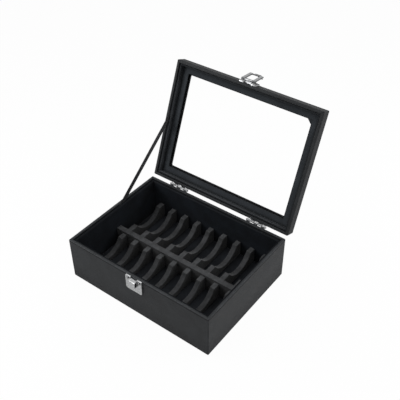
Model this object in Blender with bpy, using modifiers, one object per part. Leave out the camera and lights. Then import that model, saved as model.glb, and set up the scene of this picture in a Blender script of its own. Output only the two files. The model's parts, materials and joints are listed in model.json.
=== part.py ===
"""Bangle box: a leather-covered case with a hinged glass-topped lid, a latch, and a tray of scooped dividers.

Metres, +Z up, +Y towards the hinges. The origin is the centre of the underside. Every piece is modelled with the
lid closed. Then the lid turns back on its hinge axis until its stay ribbon is taut, and the latch ring folds back.
"""

import math

import bmesh
import bpy
from mathutils import Matrix, Vector

# Case
CASE_WIDTH = 0.200
CASE_DEPTH = 0.1505
BASE_HEIGHT = 0.0583
LID_HEIGHT = 0.0142
RIM_GAP = 0.0004
LID_OPEN_ANGLE = math.radians(111.4)
CORNER_RADIUS = 0.0010
EDGE_RADIUS = 0.0008

# Walls: leather outside and turned in, a board, then a lining board behind a narrow groove
LEATHER = 0.0005
GLUE_LINE = 0.0002
WALL_BOARD = 0.0022
BOARD_GAP = 0.0003
RIBBON_GROOVE = 0.0006
LINING_BOARD = 0.0016
LINING_DROP = 0.0017
LINING_EDGE = 0.0003
TURN_IN = 0.0090
HEM = 0.0090

# Bottom
FELT = 0.0006
FELT_INSET = 0.0015
BOTTOM_BOARD = 0.0030
FLOOR_PAD = 0.0020
PAD_EDGE = 0.0005

# Tray
RAIL_WIDTH = 0.0072
RAIL_TOP = 0.0280
RAIL_EDGE = 0.0005
DIVIDERS_PER_ROW = 9
END_SLOT = 0.0107
DIVIDER_THICKNESS = 0.0064
DIVIDER_TOP = 0.0260
SCOOP_RADIUS = 0.0247
SCOOP_DEPTH = 0.0131
SCOOP_SHIFT = 0.0019
DIVIDER_EDGE = 0.0004
SOFT_GAP = 0.0003

# Lid window, whose front right corner is cut straight across
WINDOW_BORDER = 0.0158
WINDOW_RADIUS = 0.0015
WINDOW_CUT = 0.0050
TOP_BOARD = 0.0016
GLASS = 0.0015
GLASS_LAP = 0.0045
GLASS_RADIUS = 0.0030
MAT = 0.0011
MAT_SETBACK = 0.0015

# Hinges
HINGE_INSET = 0.0421
HINGE_LENGTH = 0.0260
HINGE_OFFSET = 0.00205
KNUCKLES = 5
KNUCKLE_RADIUS = 0.00125
KNUCKLE_GAP = 0.0003
HINGE_BORE = 0.00080
HINGE_PIN_RADIUS = 0.00060
HINGE_PIN_HEAD = 0.00095
HINGE_PIN_HEAD_LENGTH = 0.0006
LEAF_THICKNESS = 0.0009
BASE_LEAF_DROP = 0.0120
LID_LEAF_RISE = 0.0108
LEAF_CORNER = 0.0012
LEAF_SCREW_SPREAD = 0.0150

# Latch plates
LATCH_WIDTH = 0.0230
LATCH_PLATE = 0.0016
CATCH_HEIGHT = 0.0200
HASP_HEIGHT = 0.0120
LATCH_SETBACK = 0.0003
NOTCH_WIDTH = 0.0086
NOTCH_DEPTH = 0.0028
NOTCH_VALLEY_RADIUS = 0.0020
EAR_RADIUS = 0.0010
PLATE_CORNER = 0.0028
PLATE_EDGE = 0.0004
EAR_SCREW_SPREAD = 0.0158
EAR_SCREW_DROP = 0.0034
HASP_SCREW_RISE = 0.0088

# Latch boss, the raised bridge that the ring goes over
BOSS_WIDTH = 0.0080
BOSS_HEIGHT = 0.0082
BOSS_PROUD = 0.0030
BOSS_EDGE = 0.0007
BOSS_WALL = 0.0011

# Latch ring
RING_WIDTH = 0.0146
RING_STRIP = 0.0024
RING_DEPTH = 0.0016
RING_REACH = 0.0169
RING_BAR = 0.0016
RING_FOLD_ANGLE = math.radians(165.0)
RING_PIVOT_OUT = 0.0042
RING_PIVOT_RISE = 0.0028
RING_PIVOT_BORE = 0.00080
RING_PIN_RADIUS = 0.00060
RING_STRAP = 0.0009
RING_STRAP_INSET = 0.0002
RING_CLEARANCE = 0.00035
THUMB_WIDTH = 0.0064
THUMB_RADIUS = 0.0115
THUMB_ANGLE = math.radians(60.0)
THUMB_THICKNESS = 0.0009

# Screws
SCREW_HEAD_RADIUS = 0.0013
SCREW_HEAD_HEIGHT = 0.00035
SCREW_SHANK_RADIUS = 0.0006
SCREW_LENGTH = 0.0034
SCREW_CLEARANCE = 0.0002

# Stay ribbon, on the left side, with its ends this far in front of the hinge axis
RIBBON_WIDTH = 0.0070
RIBBON_THICKNESS = 0.0003
RIBBON_BASE_ARM = 0.0629
RIBBON_LID_ARM = 0.0772
RIBBON_TAIL = 0.0120

# Cutters run past what they cut by this much
OVERRUN = 0.0010

ROUND_STEPS = 24
PIN_STEPS = 16
CORNER_STEPS = 3
ARC_STEPS = 24

# Outer half sizes and levels
HALF_X = CASE_WIDTH / 2
HALF_Y = CASE_DEPTH / 2
LID_RIM = BASE_HEIGHT + RIM_GAP
LID_TOP = LID_RIM + LID_HEIGHT
HINGE_Y = HALF_Y + HINGE_OFFSET
HINGE_Z = BASE_HEIGHT + RIM_GAP / 2

# Layers of the walls, as distances in from the outer faces
SKIN_DEPTH = LEATHER + GLUE_LINE
BOARD_INNER = SKIN_DEPTH + WALL_BOARD
WALL_DEPTH = BOARD_INNER + GLUE_LINE + LEATHER
LINING_OUTER = WALL_DEPTH + RIBBON_GROOVE
LINING_INNER = LINING_OUTER + LINING_BOARD

# Levels in the base
HEM_LEVEL = FELT + GLUE_LINE
BOARD_LEVEL = HEM_LEVEL + SKIN_DEPTH
BOTTOM_TOP = BOARD_LEVEL + BOTTOM_BOARD
PAD_LEVEL = BOTTOM_TOP + GLUE_LINE
TRAY_LEVEL = PAD_LEVEL + FLOOR_PAD + GLUE_LINE
BASE_BOARD_TOP = BASE_HEIGHT - SKIN_DEPTH
BASE_LINING_TOP = BASE_HEIGHT - LINING_DROP

# Levels in the lid
LID_BOARD_LOW = LID_RIM + SKIN_DEPTH
TOP_BOARD_HIGH = LID_TOP - SKIN_DEPTH
TOP_BOARD_LOW = TOP_BOARD_HIGH - TOP_BOARD
LID_BOARD_HIGH = TOP_BOARD_LOW - BOARD_GAP
LID_LINING_LOW = LID_RIM + LINING_DROP
SPACER_HIGH = TOP_BOARD_LOW - GLUE_LINE
WINDOW_SKIN_LOW = TOP_BOARD_LOW - SKIN_DEPTH
GLASS_HIGH = WINDOW_SKIN_LOW - GLUE_LINE
GLASS_LOW = GLASS_HIGH - GLASS
MAT_HIGH = GLASS_LOW - GLUE_LINE

# Lines of the latch, on the front
FRONT = -HALF_Y
PLATE_BACK = FRONT - GLUE_LINE
PLATE_FACE = PLATE_BACK - LATCH_PLATE
CATCH_TOP = BASE_HEIGHT - LATCH_SETBACK
HASP_LOW = LID_RIM + LATCH_SETBACK
PIVOT_Y = FRONT - RING_PIVOT_OUT
PIVOT_Z = LID_RIM + RING_PIVOT_RISE
BOSS_LOW = PIVOT_Z - RING_REACH + RING_BAR + RING_CLEARANCE

CHROME = ("chrome", (0.80, 0.81, 0.82), 0.18, 1.0)
LEATHER_SKIN = ("black_leather", (0.040, 0.042, 0.045), 0.48, 0.0)
BOARD = ("fibreboard", (0.42, 0.31, 0.20), 0.80, 0.0)
VELVET = ("black_velvet", (0.012, 0.013, 0.015), 0.95, 0.0)
FOAM = ("grey_flocked_foam", (0.035, 0.035, 0.037), 0.92, 0.0)
FELT_CLOTH = ("black_felt", (0.020, 0.020, 0.022), 0.95, 0.0)
CLEAR_GLASS = ("clear_glass", (0.95, 0.97, 0.97), 0.03, 0.0)
RIBBON_CLOTH = ("black_ribbon", (0.015, 0.015, 0.016), 0.60, 0.0)


def clear_scene():
    for obj in list(bpy.data.objects):
        bpy.data.objects.remove(obj, do_unlink=True)


def new_collection(name):
    found = bpy.data.collections.new(name)
    bpy.context.scene.collection.children.link(found)
    return found


def material(look):
    name, colour, roughness, metallic = look
    found = bpy.data.materials.get(name)
    if found:
        return found
    found = bpy.data.materials.new(name)
    found.use_nodes = True
    shader = found.node_tree.nodes["Principled BSDF"]
    shader.inputs["Base Color"].default_value = (*colour, 1.0)
    shader.inputs["Roughness"].default_value = roughness
    shader.inputs["Metallic"].default_value = metallic
    return found


def mesh_from(bm, name):
    bmesh.ops.recalc_face_normals(bm, faces=bm.faces)
    mesh = bpy.data.meshes.new(name)
    bm.to_mesh(mesh)
    bm.free()
    return mesh


class Bench:
    """Makes the objects, each placed under the joint that carries it."""

    def __init__(self):
        self.parts = new_collection("bangle_box")
        self.tools = new_collection("bangle_box_cutters")
        self.pivots = {}

    def pivot(self, name, place, turn, under=None):
        """An empty on a joint's axis, whose turn is made once everything hangs on it."""
        empty = bpy.data.objects.new(name, None)
        self.parts.objects.link(empty)
        start = self.pivots[under][1] if under else Vector()
        empty.parent = self.pivots[under][0] if under else None
        empty.location = Vector(place) - start
        self.pivots[name] = (empty, Vector(place), turn)

    def turn_pivots(self):
        for empty, _, turn in self.pivots.values():
            empty.rotation_euler.x = turn

    def add(self, name, mesh, look, place=(0, 0, 0), under=None, smooth=False):
        """An object whose mesh is already at its size, at this place of the closed box."""
        obj = bpy.data.objects.new(name, mesh)
        self.parts.objects.link(obj)
        obj.location = Vector(place)
        if under:
            obj.parent, start, _ = self.pivots[under]
            obj.location = Vector(place) - start
        if not mesh.materials:
            mesh.materials.append(material(look))
        if smooth:
            mesh.shade_smooth()
            mesh.set_sharp_from_angle(angle=math.radians(35))
        return obj

    def cutter(self, name, mesh, like):
        """A helper that is modelled in the closed box's coordinates and hangs where the piece that it shapes does."""
        obj = bpy.data.objects.new(name, mesh)
        self.tools.objects.link(obj)
        if like.parent:
            start = next(entry[1] for entry in self.pivots.values() if entry[0] == like.parent)
            obj.parent = like.parent
            obj.location = -start
        obj.hide_render = True
        obj.display_type = "WIRE"
        return obj

    def boolean(self, obj, mesh, operation):
        modifier = obj.modifiers.new(operation.lower(), "BOOLEAN")
        modifier.operation = operation
        modifier.solver = "EXACT"
        modifier.object = self.cutter(f"{obj.name}_{mesh.name}", mesh, obj)


def box_mesh(name, low, high):
    """A box between two corners, around its own centre. Returns the mesh and that centre."""
    low, high = Vector(low), Vector(high)
    bm = bmesh.new()
    bmesh.ops.create_cube(bm, size=1.0)
    bmesh.ops.scale(bm, vec=high - low, verts=bm.verts)
    return mesh_from(bm, name), (low + high) / 2


def placed_box(name, low, high):
    mesh, centre = box_mesh(name, low, high)
    mesh.transform(Matrix.Translation(centre))
    return mesh


def rod_mesh(name, radius, start, end, steps=ROUND_STEPS):
    """A round rod from start to end, in place."""
    start, end = Vector(start), Vector(end)
    along = end - start
    bm = bmesh.new()
    bmesh.ops.create_cone(
        bm,
        cap_ends=True,
        segments=steps,
        radius1=radius,
        radius2=radius,
        depth=along.length,
        matrix=Matrix.Translation((start + end) / 2) @ along.to_track_quat("Z", "Y").to_matrix().to_4x4(),
    )
    return mesh_from(bm, name)


def joined_mesh(name, meshes):
    """Separate closed bodies in one mesh, for a cutter that makes several holes."""
    bm = bmesh.new()
    for mesh in meshes:
        bm.from_mesh(mesh)
    return mesh_from(bm, name)


def arc(centre, radius, first, last, steps):
    """Points on a circle from one angle to another, both ends included."""
    angles = [first + (last - first) * i / steps for i in range(steps + 1)]
    return [(centre[0] + radius * math.cos(a), centre[1] + radius * math.sin(a)) for a in angles]


def rounded_outline(corners, steps=CORNER_STEPS):
    """Points round a polygon of (x, y, radius) corners."""
    points = []
    for i, (x, y, radius) in enumerate(corners):
        here = Vector((x, y))
        back = (Vector(corners[i - 1][:2]) - here).normalized()
        ahead = (Vector(corners[(i + 1) % len(corners)][:2]) - here).normalized()
        if not radius:
            points.append(here)
            continue
        half = back.angle(ahead) / 2
        centre = here + (back + ahead).normalized() * radius / math.sin(half)
        start = here + back * radius / math.tan(half) - centre
        end = here + ahead * radius / math.tan(half) - centre
        turn = math.atan2(start.x * end.y - start.y * end.x, start.dot(end))
        points += [centre + Matrix.Rotation(turn * k / steps, 2) @ start for k in range(steps + 1)]
    return [(p[0], p[1]) for p in points]


def flat_plate_mesh(name, outline, thickness, matrix):
    """An outline filled and extruded both ways by half its thickness, then turned into place."""
    curve = bpy.data.curves.new(name, "CURVE")
    curve.dimensions = "2D"
    curve.fill_mode = "BOTH"
    curve.extrude = thickness / 2
    spline = curve.splines.new("POLY")
    spline.points.add(len(outline) - 1)
    for point, (x, y) in zip(spline.points, outline):
        point.co = (x, y, 0, 1)
    spline.use_cyclic_u = True
    helper = bpy.data.objects.new(name, curve)
    bpy.context.scene.collection.objects.link(helper)
    bpy.context.view_layer.update()
    made = bpy.data.meshes.new_from_object(helper.evaluated_get(bpy.context.evaluated_depsgraph_get()))
    bpy.data.objects.remove(helper)
    bpy.data.curves.remove(curve)
    bm = bmesh.new()
    bm.from_mesh(made)
    bpy.data.meshes.remove(made)
    bmesh.ops.remove_doubles(bm, verts=bm.verts, dist=GLUE_LINE / ARC_STEPS)
    bmesh.ops.dissolve_limit(bm, angle_limit=math.radians(1), verts=bm.verts, edges=bm.edges)
    bm.transform(matrix)
    return mesh_from(bm, name)


# An outline's x and y become the box's y and z, and its thickness runs along X
SIDE_VIEW = Matrix(((0, 0, 1, 0), (1, 0, 0, 0), (0, 1, 0, 0), (0, 0, 0, 1)))
# An outline's x and y become the box's x and z, and its thickness runs along Y
FRONT_VIEW = Matrix(((1, 0, 0, 0), (0, 0, -1, 0), (0, 1, 0, 0), (0, 0, 0, 1)))


def rounded_path(corners, radius):
    """An open path of (inset, level, corner radius of the box there, None at the window), its own bends rounded."""
    path = [corners[0]]
    for i in range(1, len(corners) - 1):
        here = Vector(corners[i][:2])
        back = (Vector(corners[i - 1][:2]) - here).normalized()
        ahead = (Vector(corners[i + 1][:2]) - here).normalized()
        centre = here + (back + ahead) * radius
        start = -ahead * radius
        turn = math.atan2(start.x * (-back).y - start.y * (-back).x, start.dot(-back))
        for k in range(CORNER_STEPS + 1):
            point = centre + Matrix.Rotation(turn * k / CORNER_STEPS, 2) @ start
            path.append((point.x, point.y, corners[i][2]))
    return path + [corners[-1]]


def case_outline(inset, radius):
    """A loop round the case at a distance in from its faces, which starts at the front right."""
    x, y = HALF_X - inset, HALF_Y - inset
    return rounded_outline([(x, -y, radius), (x, y, radius), (-x, y, radius), (-x, -y, radius)])


def window_outline(inset):
    """A loop round the window, as far in as that. Its front right corner is cut instead of rounded."""
    x, y = HALF_X - inset, HALF_Y - inset
    cut = WINDOW_CUT + (WINDOW_BORDER - inset) * (2 - math.sqrt(2))
    start, end = Vector((x - cut, -y)), Vector((x, cut - y))
    corner = [tuple(start.lerp(end, k / CORNER_STEPS)) for k in range(CORNER_STEPS + 1)]
    return corner + case_outline(inset, WINDOW_RADIUS)[len(corner) :]


def skin_mesh(name, path):
    """An open band swept round the case. Its faces look away from what the band wraps."""
    bm = bmesh.new()
    loops = []
    for inset, level, radius in path:
        outline = window_outline(inset) if radius is None else case_outline(inset, radius)
        loops.append([bm.verts.new((px, py, level)) for px, py in outline])
    for low, high in zip(loops, loops[1:]):
        for i in range(len(low)):
            j = (i + 1) % len(low)
            bm.faces.new((low[i], low[j], high[j], high[i]))
    mesh = bpy.data.meshes.new(name)
    bm.to_mesh(mesh)
    bm.free()
    return mesh


def add_skin(bench, name, path, thickness, look, under=None):
    obj = bench.add(name, skin_mesh(name, path), look, (0, 0, 0), under, smooth=True)
    solid = obj.modifiers.new("wall", "SOLIDIFY")
    solid.thickness = thickness
    solid.offset = -1
    solid.use_even_offset = True
    return obj


def add_block(bench, name, low, high, look, under=None, edge=0.0):
    mesh, centre = box_mesh(name, low, high)
    obj = bench.add(name, mesh, look, centre, under, smooth=edge > 0)
    if edge:
        bevel(obj, edge)
    return obj


def bevel(obj, width, segments=2):
    modifier = obj.modifiers.new("edges", "BEVEL")
    modifier.width = width
    modifier.segments = segments
    modifier.limit_method = "ANGLE"
    modifier.angle_limit = math.radians(50)


def corner_radius(inset):
    """The radius of the box's upright corners at a distance in from its faces."""
    return max(CORNER_RADIUS - inset, GLUE_LINE)


def ring_of_boards(bench, stem, outer, thickness, low, high, look, under=None, edge=0.0):
    """Four boards round the case: front and back run past the ends of left and right."""
    x, y = HALF_X - outer, HALF_Y - outer
    end = y - thickness - BOARD_GAP
    spans = {
        "front": ((-x, -y), (x, thickness - y)),
        "back": ((-x, y - thickness), (x, y)),
        "left": ((-x, -end), (thickness - x, end)),
        "right": ((x - thickness, -end), (x, end)),
    }
    made = {}
    for side, ((x0, y0), (x1, y1)) in spans.items():
        name = f"{stem}_{side}_board"
        made[side] = add_block(bench, name, (x0, y0, low), (x1, y1, high), look, under, edge)
    return made


def add_base_shell(bench):
    """The felt, the bottom, the walls, the leather that wraps them and the boards that line them."""
    foot = FELT_INSET
    add_block(bench, "bottom_felt", (foot - HALF_X, foot - HALF_Y, 0), (HALF_X - foot, HALF_Y - foot, FELT), FELT_CLOTH)
    inner = BOARD_INNER + BOARD_GAP
    add_block(
        bench,
        "base_bottom_board",
        (inner - HALF_X, inner - HALF_Y, BOARD_LEVEL),
        (HALF_X - inner, HALF_Y - inner, BOTTOM_TOP),
        BOARD,
    )
    walls = ring_of_boards(bench, "base", SKIN_DEPTH, WALL_BOARD, BOARD_LEVEL, BASE_BOARD_TOP, BOARD)
    path = rounded_path(
        [
            (HEM, HEM_LEVEL, corner_radius(HEM)),
            (0, HEM_LEVEL, CORNER_RADIUS),
            (0, BASE_HEIGHT, CORNER_RADIUS),
            (WALL_DEPTH, BASE_HEIGHT, corner_radius(WALL_DEPTH)),
            (WALL_DEPTH, BASE_HEIGHT - TURN_IN, corner_radius(WALL_DEPTH)),
        ],
        EDGE_RADIUS,
    )
    wrap = add_skin(bench, "base_leather_wrap", path, LEATHER, LEATHER_SKIN)
    ring_of_boards(bench, "base_lining", LINING_OUTER, LINING_BOARD, PAD_LEVEL, BASE_LINING_TOP, VELVET, None, LINING_EDGE)
    return wrap, walls["front"]


def divider_outline(front, back):
    """Side view of a divider: a flat-topped strip with a round scoop, a little nearer its back end."""
    middle = (front + back) / 2 + SCOOP_SHIFT
    lift = DIVIDER_TOP - SCOOP_DEPTH + SCOOP_RADIUS
    half = math.acos((lift - DIVIDER_TOP) / SCOOP_RADIUS)
    down = -math.pi / 2
    scoop = arc((middle, lift), SCOOP_RADIUS, down + half, down - half, ARC_STEPS)
    return [(front, TRAY_LEVEL), (back, TRAY_LEVEL), (back, DIVIDER_TOP), *scoop, (front, DIVIDER_TOP)]


def add_tray(bench):
    """The padded floor, the rail along the middle and a row of scooped dividers on each side of it."""
    end_x = HALF_X - LINING_INNER - SOFT_GAP
    end_y = HALF_Y - LINING_INNER - SOFT_GAP
    pad_top = PAD_LEVEL + FLOOR_PAD
    add_block(bench, "floor_pad", (-end_x, -end_y, PAD_LEVEL), (end_x, end_y, pad_top), VELVET, None, PAD_EDGE)
    rail = RAIL_WIDTH / 2
    add_block(bench, "center_rail", (-end_x, -rail, TRAY_LEVEL), (end_x, rail, RAIL_TOP), FOAM, None, RAIL_EDGE)
    inner = rail + SOFT_GAP
    last = end_x - END_SLOT - DIVIDER_THICKNESS / 2
    for row, (front, back) in {"front": (-end_y, -inner), "rear": (inner, end_y)}.items():
        outline = divider_outline(front, back)
        mesh = flat_plate_mesh(f"{row}_divider", outline, DIVIDER_THICKNESS, SIDE_VIEW)
        for i in range(DIVIDERS_PER_ROW):
            place = (last * (2 * i / (DIVIDERS_PER_ROW - 1) - 1), 0, 0)
            bevel(bench.add(f"{row}_divider_{i + 1}", mesh, FOAM, place), DIVIDER_EDGE, 1)


def add_lid_shell(bench):
    """The lid's walls, its frame with the window, the leather round them, the lining, and the glass on its mat."""
    walls = ring_of_boards(
        bench, "lid", SKIN_DEPTH, WALL_BOARD, LID_BOARD_LOW, LID_BOARD_HIGH, BOARD, "lid_hinge_axis"
    )
    hidden = WINDOW_BORDER - SKIN_DEPTH
    frame = [(SKIN_DEPTH, TOP_BOARD_HIGH, corner_radius(SKIN_DEPTH)), (hidden, TOP_BOARD_HIGH, None)]
    add_skin(bench, "lid_top_frame", frame, TOP_BOARD, BOARD, "lid_hinge_axis")
    lap = WINDOW_BORDER - GLASS_LAP
    path = rounded_path(
        [
            (WALL_DEPTH, LID_RIM + TURN_IN, corner_radius(WALL_DEPTH)),
            (WALL_DEPTH, LID_RIM, corner_radius(WALL_DEPTH)),
            (0, LID_RIM, CORNER_RADIUS),
            (0, LID_TOP, CORNER_RADIUS),
            (WINDOW_BORDER, LID_TOP, None),
            (WINDOW_BORDER, WINDOW_SKIN_LOW, None),
            (lap, WINDOW_SKIN_LOW, GLASS_RADIUS),
        ],
        EDGE_RADIUS,
    )
    wrap = add_skin(bench, "lid_leather_wrap", path, LEATHER, LEATHER_SKIN, "lid_hinge_axis")
    ring_of_boards(
        bench,
        "lid_lining",
        LINING_OUTER,
        LINING_BOARD,
        LID_LINING_LOW,
        LID_BOARD_HIGH,
        VELVET,
        "lid_hinge_axis",
        LINING_EDGE,
    )
    spacer = [(LINING_INNER + SOFT_GAP, SPACER_HIGH, GLUE_LINE), (lap - SOFT_GAP, SPACER_HIGH, GLASS_RADIUS)]
    add_skin(bench, "glass_spacer", spacer, SPACER_HIGH - GLASS_LOW, BOARD, "lid_hinge_axis")
    mat = [(LINING_INNER + SOFT_GAP, MAT_HIGH, GLUE_LINE), (WINDOW_BORDER - MAT_SETBACK, MAT_HIGH, None)]
    add_skin(bench, "window_mat", mat, MAT, VELVET, "lid_hinge_axis")
    x, y = HALF_X - lap, HALF_Y - lap
    corners = [(x, -y, GLASS_RADIUS), (x, y, GLASS_RADIUS), (-x, y, GLASS_RADIUS), (-x, -y, GLASS_RADIUS)]
    middle = Matrix.Translation((0, 0, (GLASS_LOW + GLASS_HIGH) / 2))
    pane = flat_plate_mesh("glass_pane", rounded_outline(corners), GLASS, middle)
    bench.add("glass_pane", pane, CLEAR_GLASS, (0, 0, 0), "lid_hinge_axis")
    return wrap, walls["front"]


def knuckle_spans(carries_first):
    """The (start, end) along the barrel of the knuckles of one leaf: every other one."""
    pitch = HINGE_LENGTH / KNUCKLES
    first = 0 if carries_first else 1
    low = -HINGE_LENGTH / 2
    gap = KNUCKLE_GAP / 2
    return [(low + pitch * i + gap, low + pitch * (i + 1) - gap) for i in range(first, KNUCKLES, 2)]


def add_hinge(bench, side, centre):
    """A butt hinge on the outside of the back: a leaf on the base, a leaf on the lid, and the pin on the axis."""
    near = HALF_Y + GLUE_LINE
    far = near + LEAF_THICKNESS
    relief = KNUCKLE_RADIUS + KNUCKLE_GAP
    leaves = {
        f"{side}_hinge_base_leaf": (-1, BASE_LEAF_DROP, True, None),
        f"{side}_hinge_lid_leaf": (1, LID_LEAF_RISE, False, "lid_hinge_axis"),
    }
    for name, (way, reach, first, under) in leaves.items():
        half = HINGE_LENGTH / 2
        levels = sorted((HINGE_Z + way * relief, HINGE_Z + way * reach))
        radii = (0, 0, LEAF_CORNER, LEAF_CORNER) if way > 0 else (LEAF_CORNER, LEAF_CORNER, 0, 0)
        places = [(-half, levels[0]), (half, levels[0]), (half, levels[1]), (-half, levels[1])]
        outline = rounded_outline([(x + centre, z, r) for (x, z), r in zip(places, radii)])
        plate = flat_plate_mesh(name, outline, LEAF_THICKNESS, Matrix.Translation((0, (near + far) / 2, 0)) @ FRONT_VIEW)
        leaf = bench.add(name, plate, CHROME, (0, 0, 0), under, smooth=True)
        for k, (start, end) in enumerate(knuckle_spans(first)):
            neck = sorted((HINGE_Z, HINGE_Z + way * (relief + GLUE_LINE)))
            low, high = (centre + start, near, neck[0]), (centre + end, far, neck[1])
            bench.boolean(leaf, placed_box(f"neck_{k}", low, high), "UNION")
            ends = [(centre + place, HINGE_Y, HINGE_Z) for place in (start, end)]
            bench.boolean(leaf, rod_mesh(f"knuckle_{k}", KNUCKLE_RADIUS, *ends), "UNION")
        bore_ends = [(centre + place, HINGE_Y, HINGE_Z) for place in (-half - OVERRUN, half + OVERRUN)]
        bench.boolean(leaf, rod_mesh("bore", HINGE_BORE, *bore_ends), "DIFFERENCE")
        level = (levels[0] + levels[1]) / 2
        for k, shift in enumerate((-LEAF_SCREW_SPREAD / 2, LEAF_SCREW_SPREAD / 2)):
            head_ends = [(centre + shift, y, level) for y in (near + LEAF_THICKNESS / 2, far + SCREW_HEAD_HEIGHT)]
            bench.boolean(leaf, rod_mesh(f"screw_{k}", SCREW_HEAD_RADIUS, *head_ends, steps=PIN_STEPS), "UNION")
    reach = HINGE_LENGTH / 2 + KNUCKLE_GAP
    axis = [(centre + x, HINGE_Y, HINGE_Z) for x in (-reach, reach)]
    pin = bench.add(f"{side}_hinge_pin", rod_mesh("pin", HINGE_PIN_RADIUS, *axis, steps=PIN_STEPS), CHROME, smooth=True)
    for k, way in enumerate((-1, 1)):
        ends = [(centre + way * (reach + x), HINGE_Y, HINGE_Z) for x in (-GLUE_LINE, HINGE_PIN_HEAD_LENGTH)]
        bench.boolean(pin, rod_mesh(f"head_{k}", HINGE_PIN_HEAD, *ends, steps=PIN_STEPS), "UNION")


def latch_outline(ears_at, way, height):
    """Front view of a latch plate: two ears at one end, with a notch between them, and round corners at the other."""
    half, notch = LATCH_WIDTH / 2, NOTCH_WIDTH / 2
    far, sill = ears_at + way * height, ears_at + way * NOTCH_DEPTH
    ear, corner, valley = EAR_RADIUS, PLATE_CORNER, NOTCH_VALLEY_RADIUS
    return rounded_outline(
        [
            (-half, far, corner),
            (half, far, corner),
            (half, ears_at, ear),
            (notch, ears_at, ear),
            (notch, sill, valley),
            (-notch, sill, valley),
            (-notch, ears_at, ear),
            (-half, ears_at, ear),
        ]
    )


def drill(bench, targets, places, radius, start, end):
    """The same round holes, along Y, in each target."""
    for target in targets:
        rods = [rod_mesh("hole", radius, (x, start, z), (x, end, z), PIN_STEPS) for x, z in places]
        bench.boolean(target, joined_mesh("holes", rods), "DIFFERENCE")


def add_screws(bench, stem, places, under=None):
    """Dome-headed screws through a latch plate and the leather into the board behind."""
    for side, (x, z) in zip(("left", "right"), places):
        seat = PLATE_FACE - SCREW_CLEARANCE
        head = rod_mesh(f"{stem}_screw", SCREW_HEAD_RADIUS, (x, seat, z), (x, seat - SCREW_HEAD_HEIGHT, z), PIN_STEPS)
        screw = bench.add(f"{stem}_screw_{side}", head, CHROME, (0, 0, 0), under, smooth=True)
        shank_ends = ((x, seat - SCREW_HEAD_HEIGHT / 2, z), (x, seat + SCREW_LENGTH, z))
        bench.boolean(screw, rod_mesh("shank", SCREW_SHANK_RADIUS, *shank_ends, steps=PIN_STEPS), "UNION")


def add_catch(bench, base_wrap, front_board):
    """The lower half of the latch: a plate with ears, whose middle is pressed out into a bridge-shaped boss."""
    outline = latch_outline(CATCH_TOP, -1, CATCH_HEIGHT)
    level = Matrix.Translation((0, (PLATE_BACK + PLATE_FACE) / 2, 0)) @ FRONT_VIEW
    plate = bench.add("catch_plate", flat_plate_mesh("catch_plate", outline, LATCH_PLATE, level), CHROME, smooth=True)
    bevel(plate, PLATE_EDGE, 1)
    half = BOSS_WIDTH / 2
    high = BOSS_LOW + BOSS_HEIGHT
    face = PLATE_FACE - BOSS_PROUD
    root = PLATE_BACK - LATCH_PLATE / 2
    corners = [(root, BOSS_LOW, 0), (root, high, 0), (face, high, BOSS_EDGE), (face, BOSS_LOW, BOSS_EDGE)]
    boss = flat_plate_mesh("boss", rounded_outline(corners), BOSS_WIDTH, SIDE_VIEW)
    bench.boolean(plate, boss, "UNION")
    low_corner = (-half - OVERRUN, face + BOSS_WALL, BOSS_LOW + BOSS_WALL)
    high_corner = (half + OVERRUN, PLATE_FACE - GLUE_LINE, high - BOSS_WALL)
    bench.boolean(plate, placed_box("bridge", low_corner, high_corner), "DIFFERENCE")
    places = [(way * EAR_SCREW_SPREAD / 2, CATCH_TOP - EAR_SCREW_DROP) for way in (-1, 1)]
    radius = SCREW_SHANK_RADIUS + SCREW_CLEARANCE
    depth = FRONT + SKIN_DEPTH + WALL_BOARD + OVERRUN
    drill(bench, (plate, base_wrap, front_board), places, radius, face, depth)
    add_screws(bench, "catch", places)


def add_hasp(bench, lid_wrap, front_board):
    """The upper half: a plate with ears on the lid, whose strap curls into the barrel that the ring turns on."""
    outline = latch_outline(HASP_LOW, 1, HASP_HEIGHT)
    level = Matrix.Translation((0, (PLATE_BACK + PLATE_FACE) / 2, 0)) @ FRONT_VIEW
    mesh = flat_plate_mesh("hasp_plate", outline, LATCH_PLATE, level)
    plate = bench.add("hasp_plate", mesh, CHROME, (0, 0, 0), "lid_hinge_axis", smooth=True)
    bevel(plate, PLATE_EDGE, 1)
    barrel = RING_WIDTH / 2 - RING_STRIP - KNUCKLE_GAP
    side, high = barrel - RING_STRAP_INSET, PIVOT_Z + RING_DEPTH - RING_STRAP_INSET
    low_corner = (-side, PIVOT_Y + RING_DEPTH / 4, high - RING_STRAP)
    bench.boolean(plate, placed_box("strap", low_corner, (side, PLATE_BACK - LATCH_PLATE / 2, high)), "UNION")
    ends = [(x, PIVOT_Y, PIVOT_Z) for x in (-barrel, barrel)]
    bench.boolean(plate, rod_mesh("barrel", RING_DEPTH, *ends), "UNION")
    bore_ends = [(x, PIVOT_Y, PIVOT_Z) for x in (-barrel - OVERRUN, barrel + OVERRUN)]
    bench.boolean(plate, rod_mesh("bore", RING_PIVOT_BORE, *bore_ends), "DIFFERENCE")
    places = [(way * EAR_SCREW_SPREAD / 2, HASP_LOW + HASP_SCREW_RISE) for way in (-1, 1)]
    depth = FRONT + SKIN_DEPTH + WALL_BOARD + OVERRUN
    radius = SCREW_SHANK_RADIUS + SCREW_CLEARANCE
    drill(bench, (plate, lid_wrap, front_board), places, radius, PLATE_FACE - OVERRUN, depth)
    add_screws(bench, "hasp", places, "lid_hinge_axis")
    reach = RING_WIDTH / 2
    pin_ends = [(x, PIVOT_Y, PIVOT_Z) for x in (-reach, reach)]
    pin = rod_mesh("hasp_pin", RING_PIN_RADIUS, *pin_ends, steps=PIN_STEPS)
    bench.add("hasp_pin", pin, CHROME, (0, 0, 0), "lid_hinge_axis", smooth=True)


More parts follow.
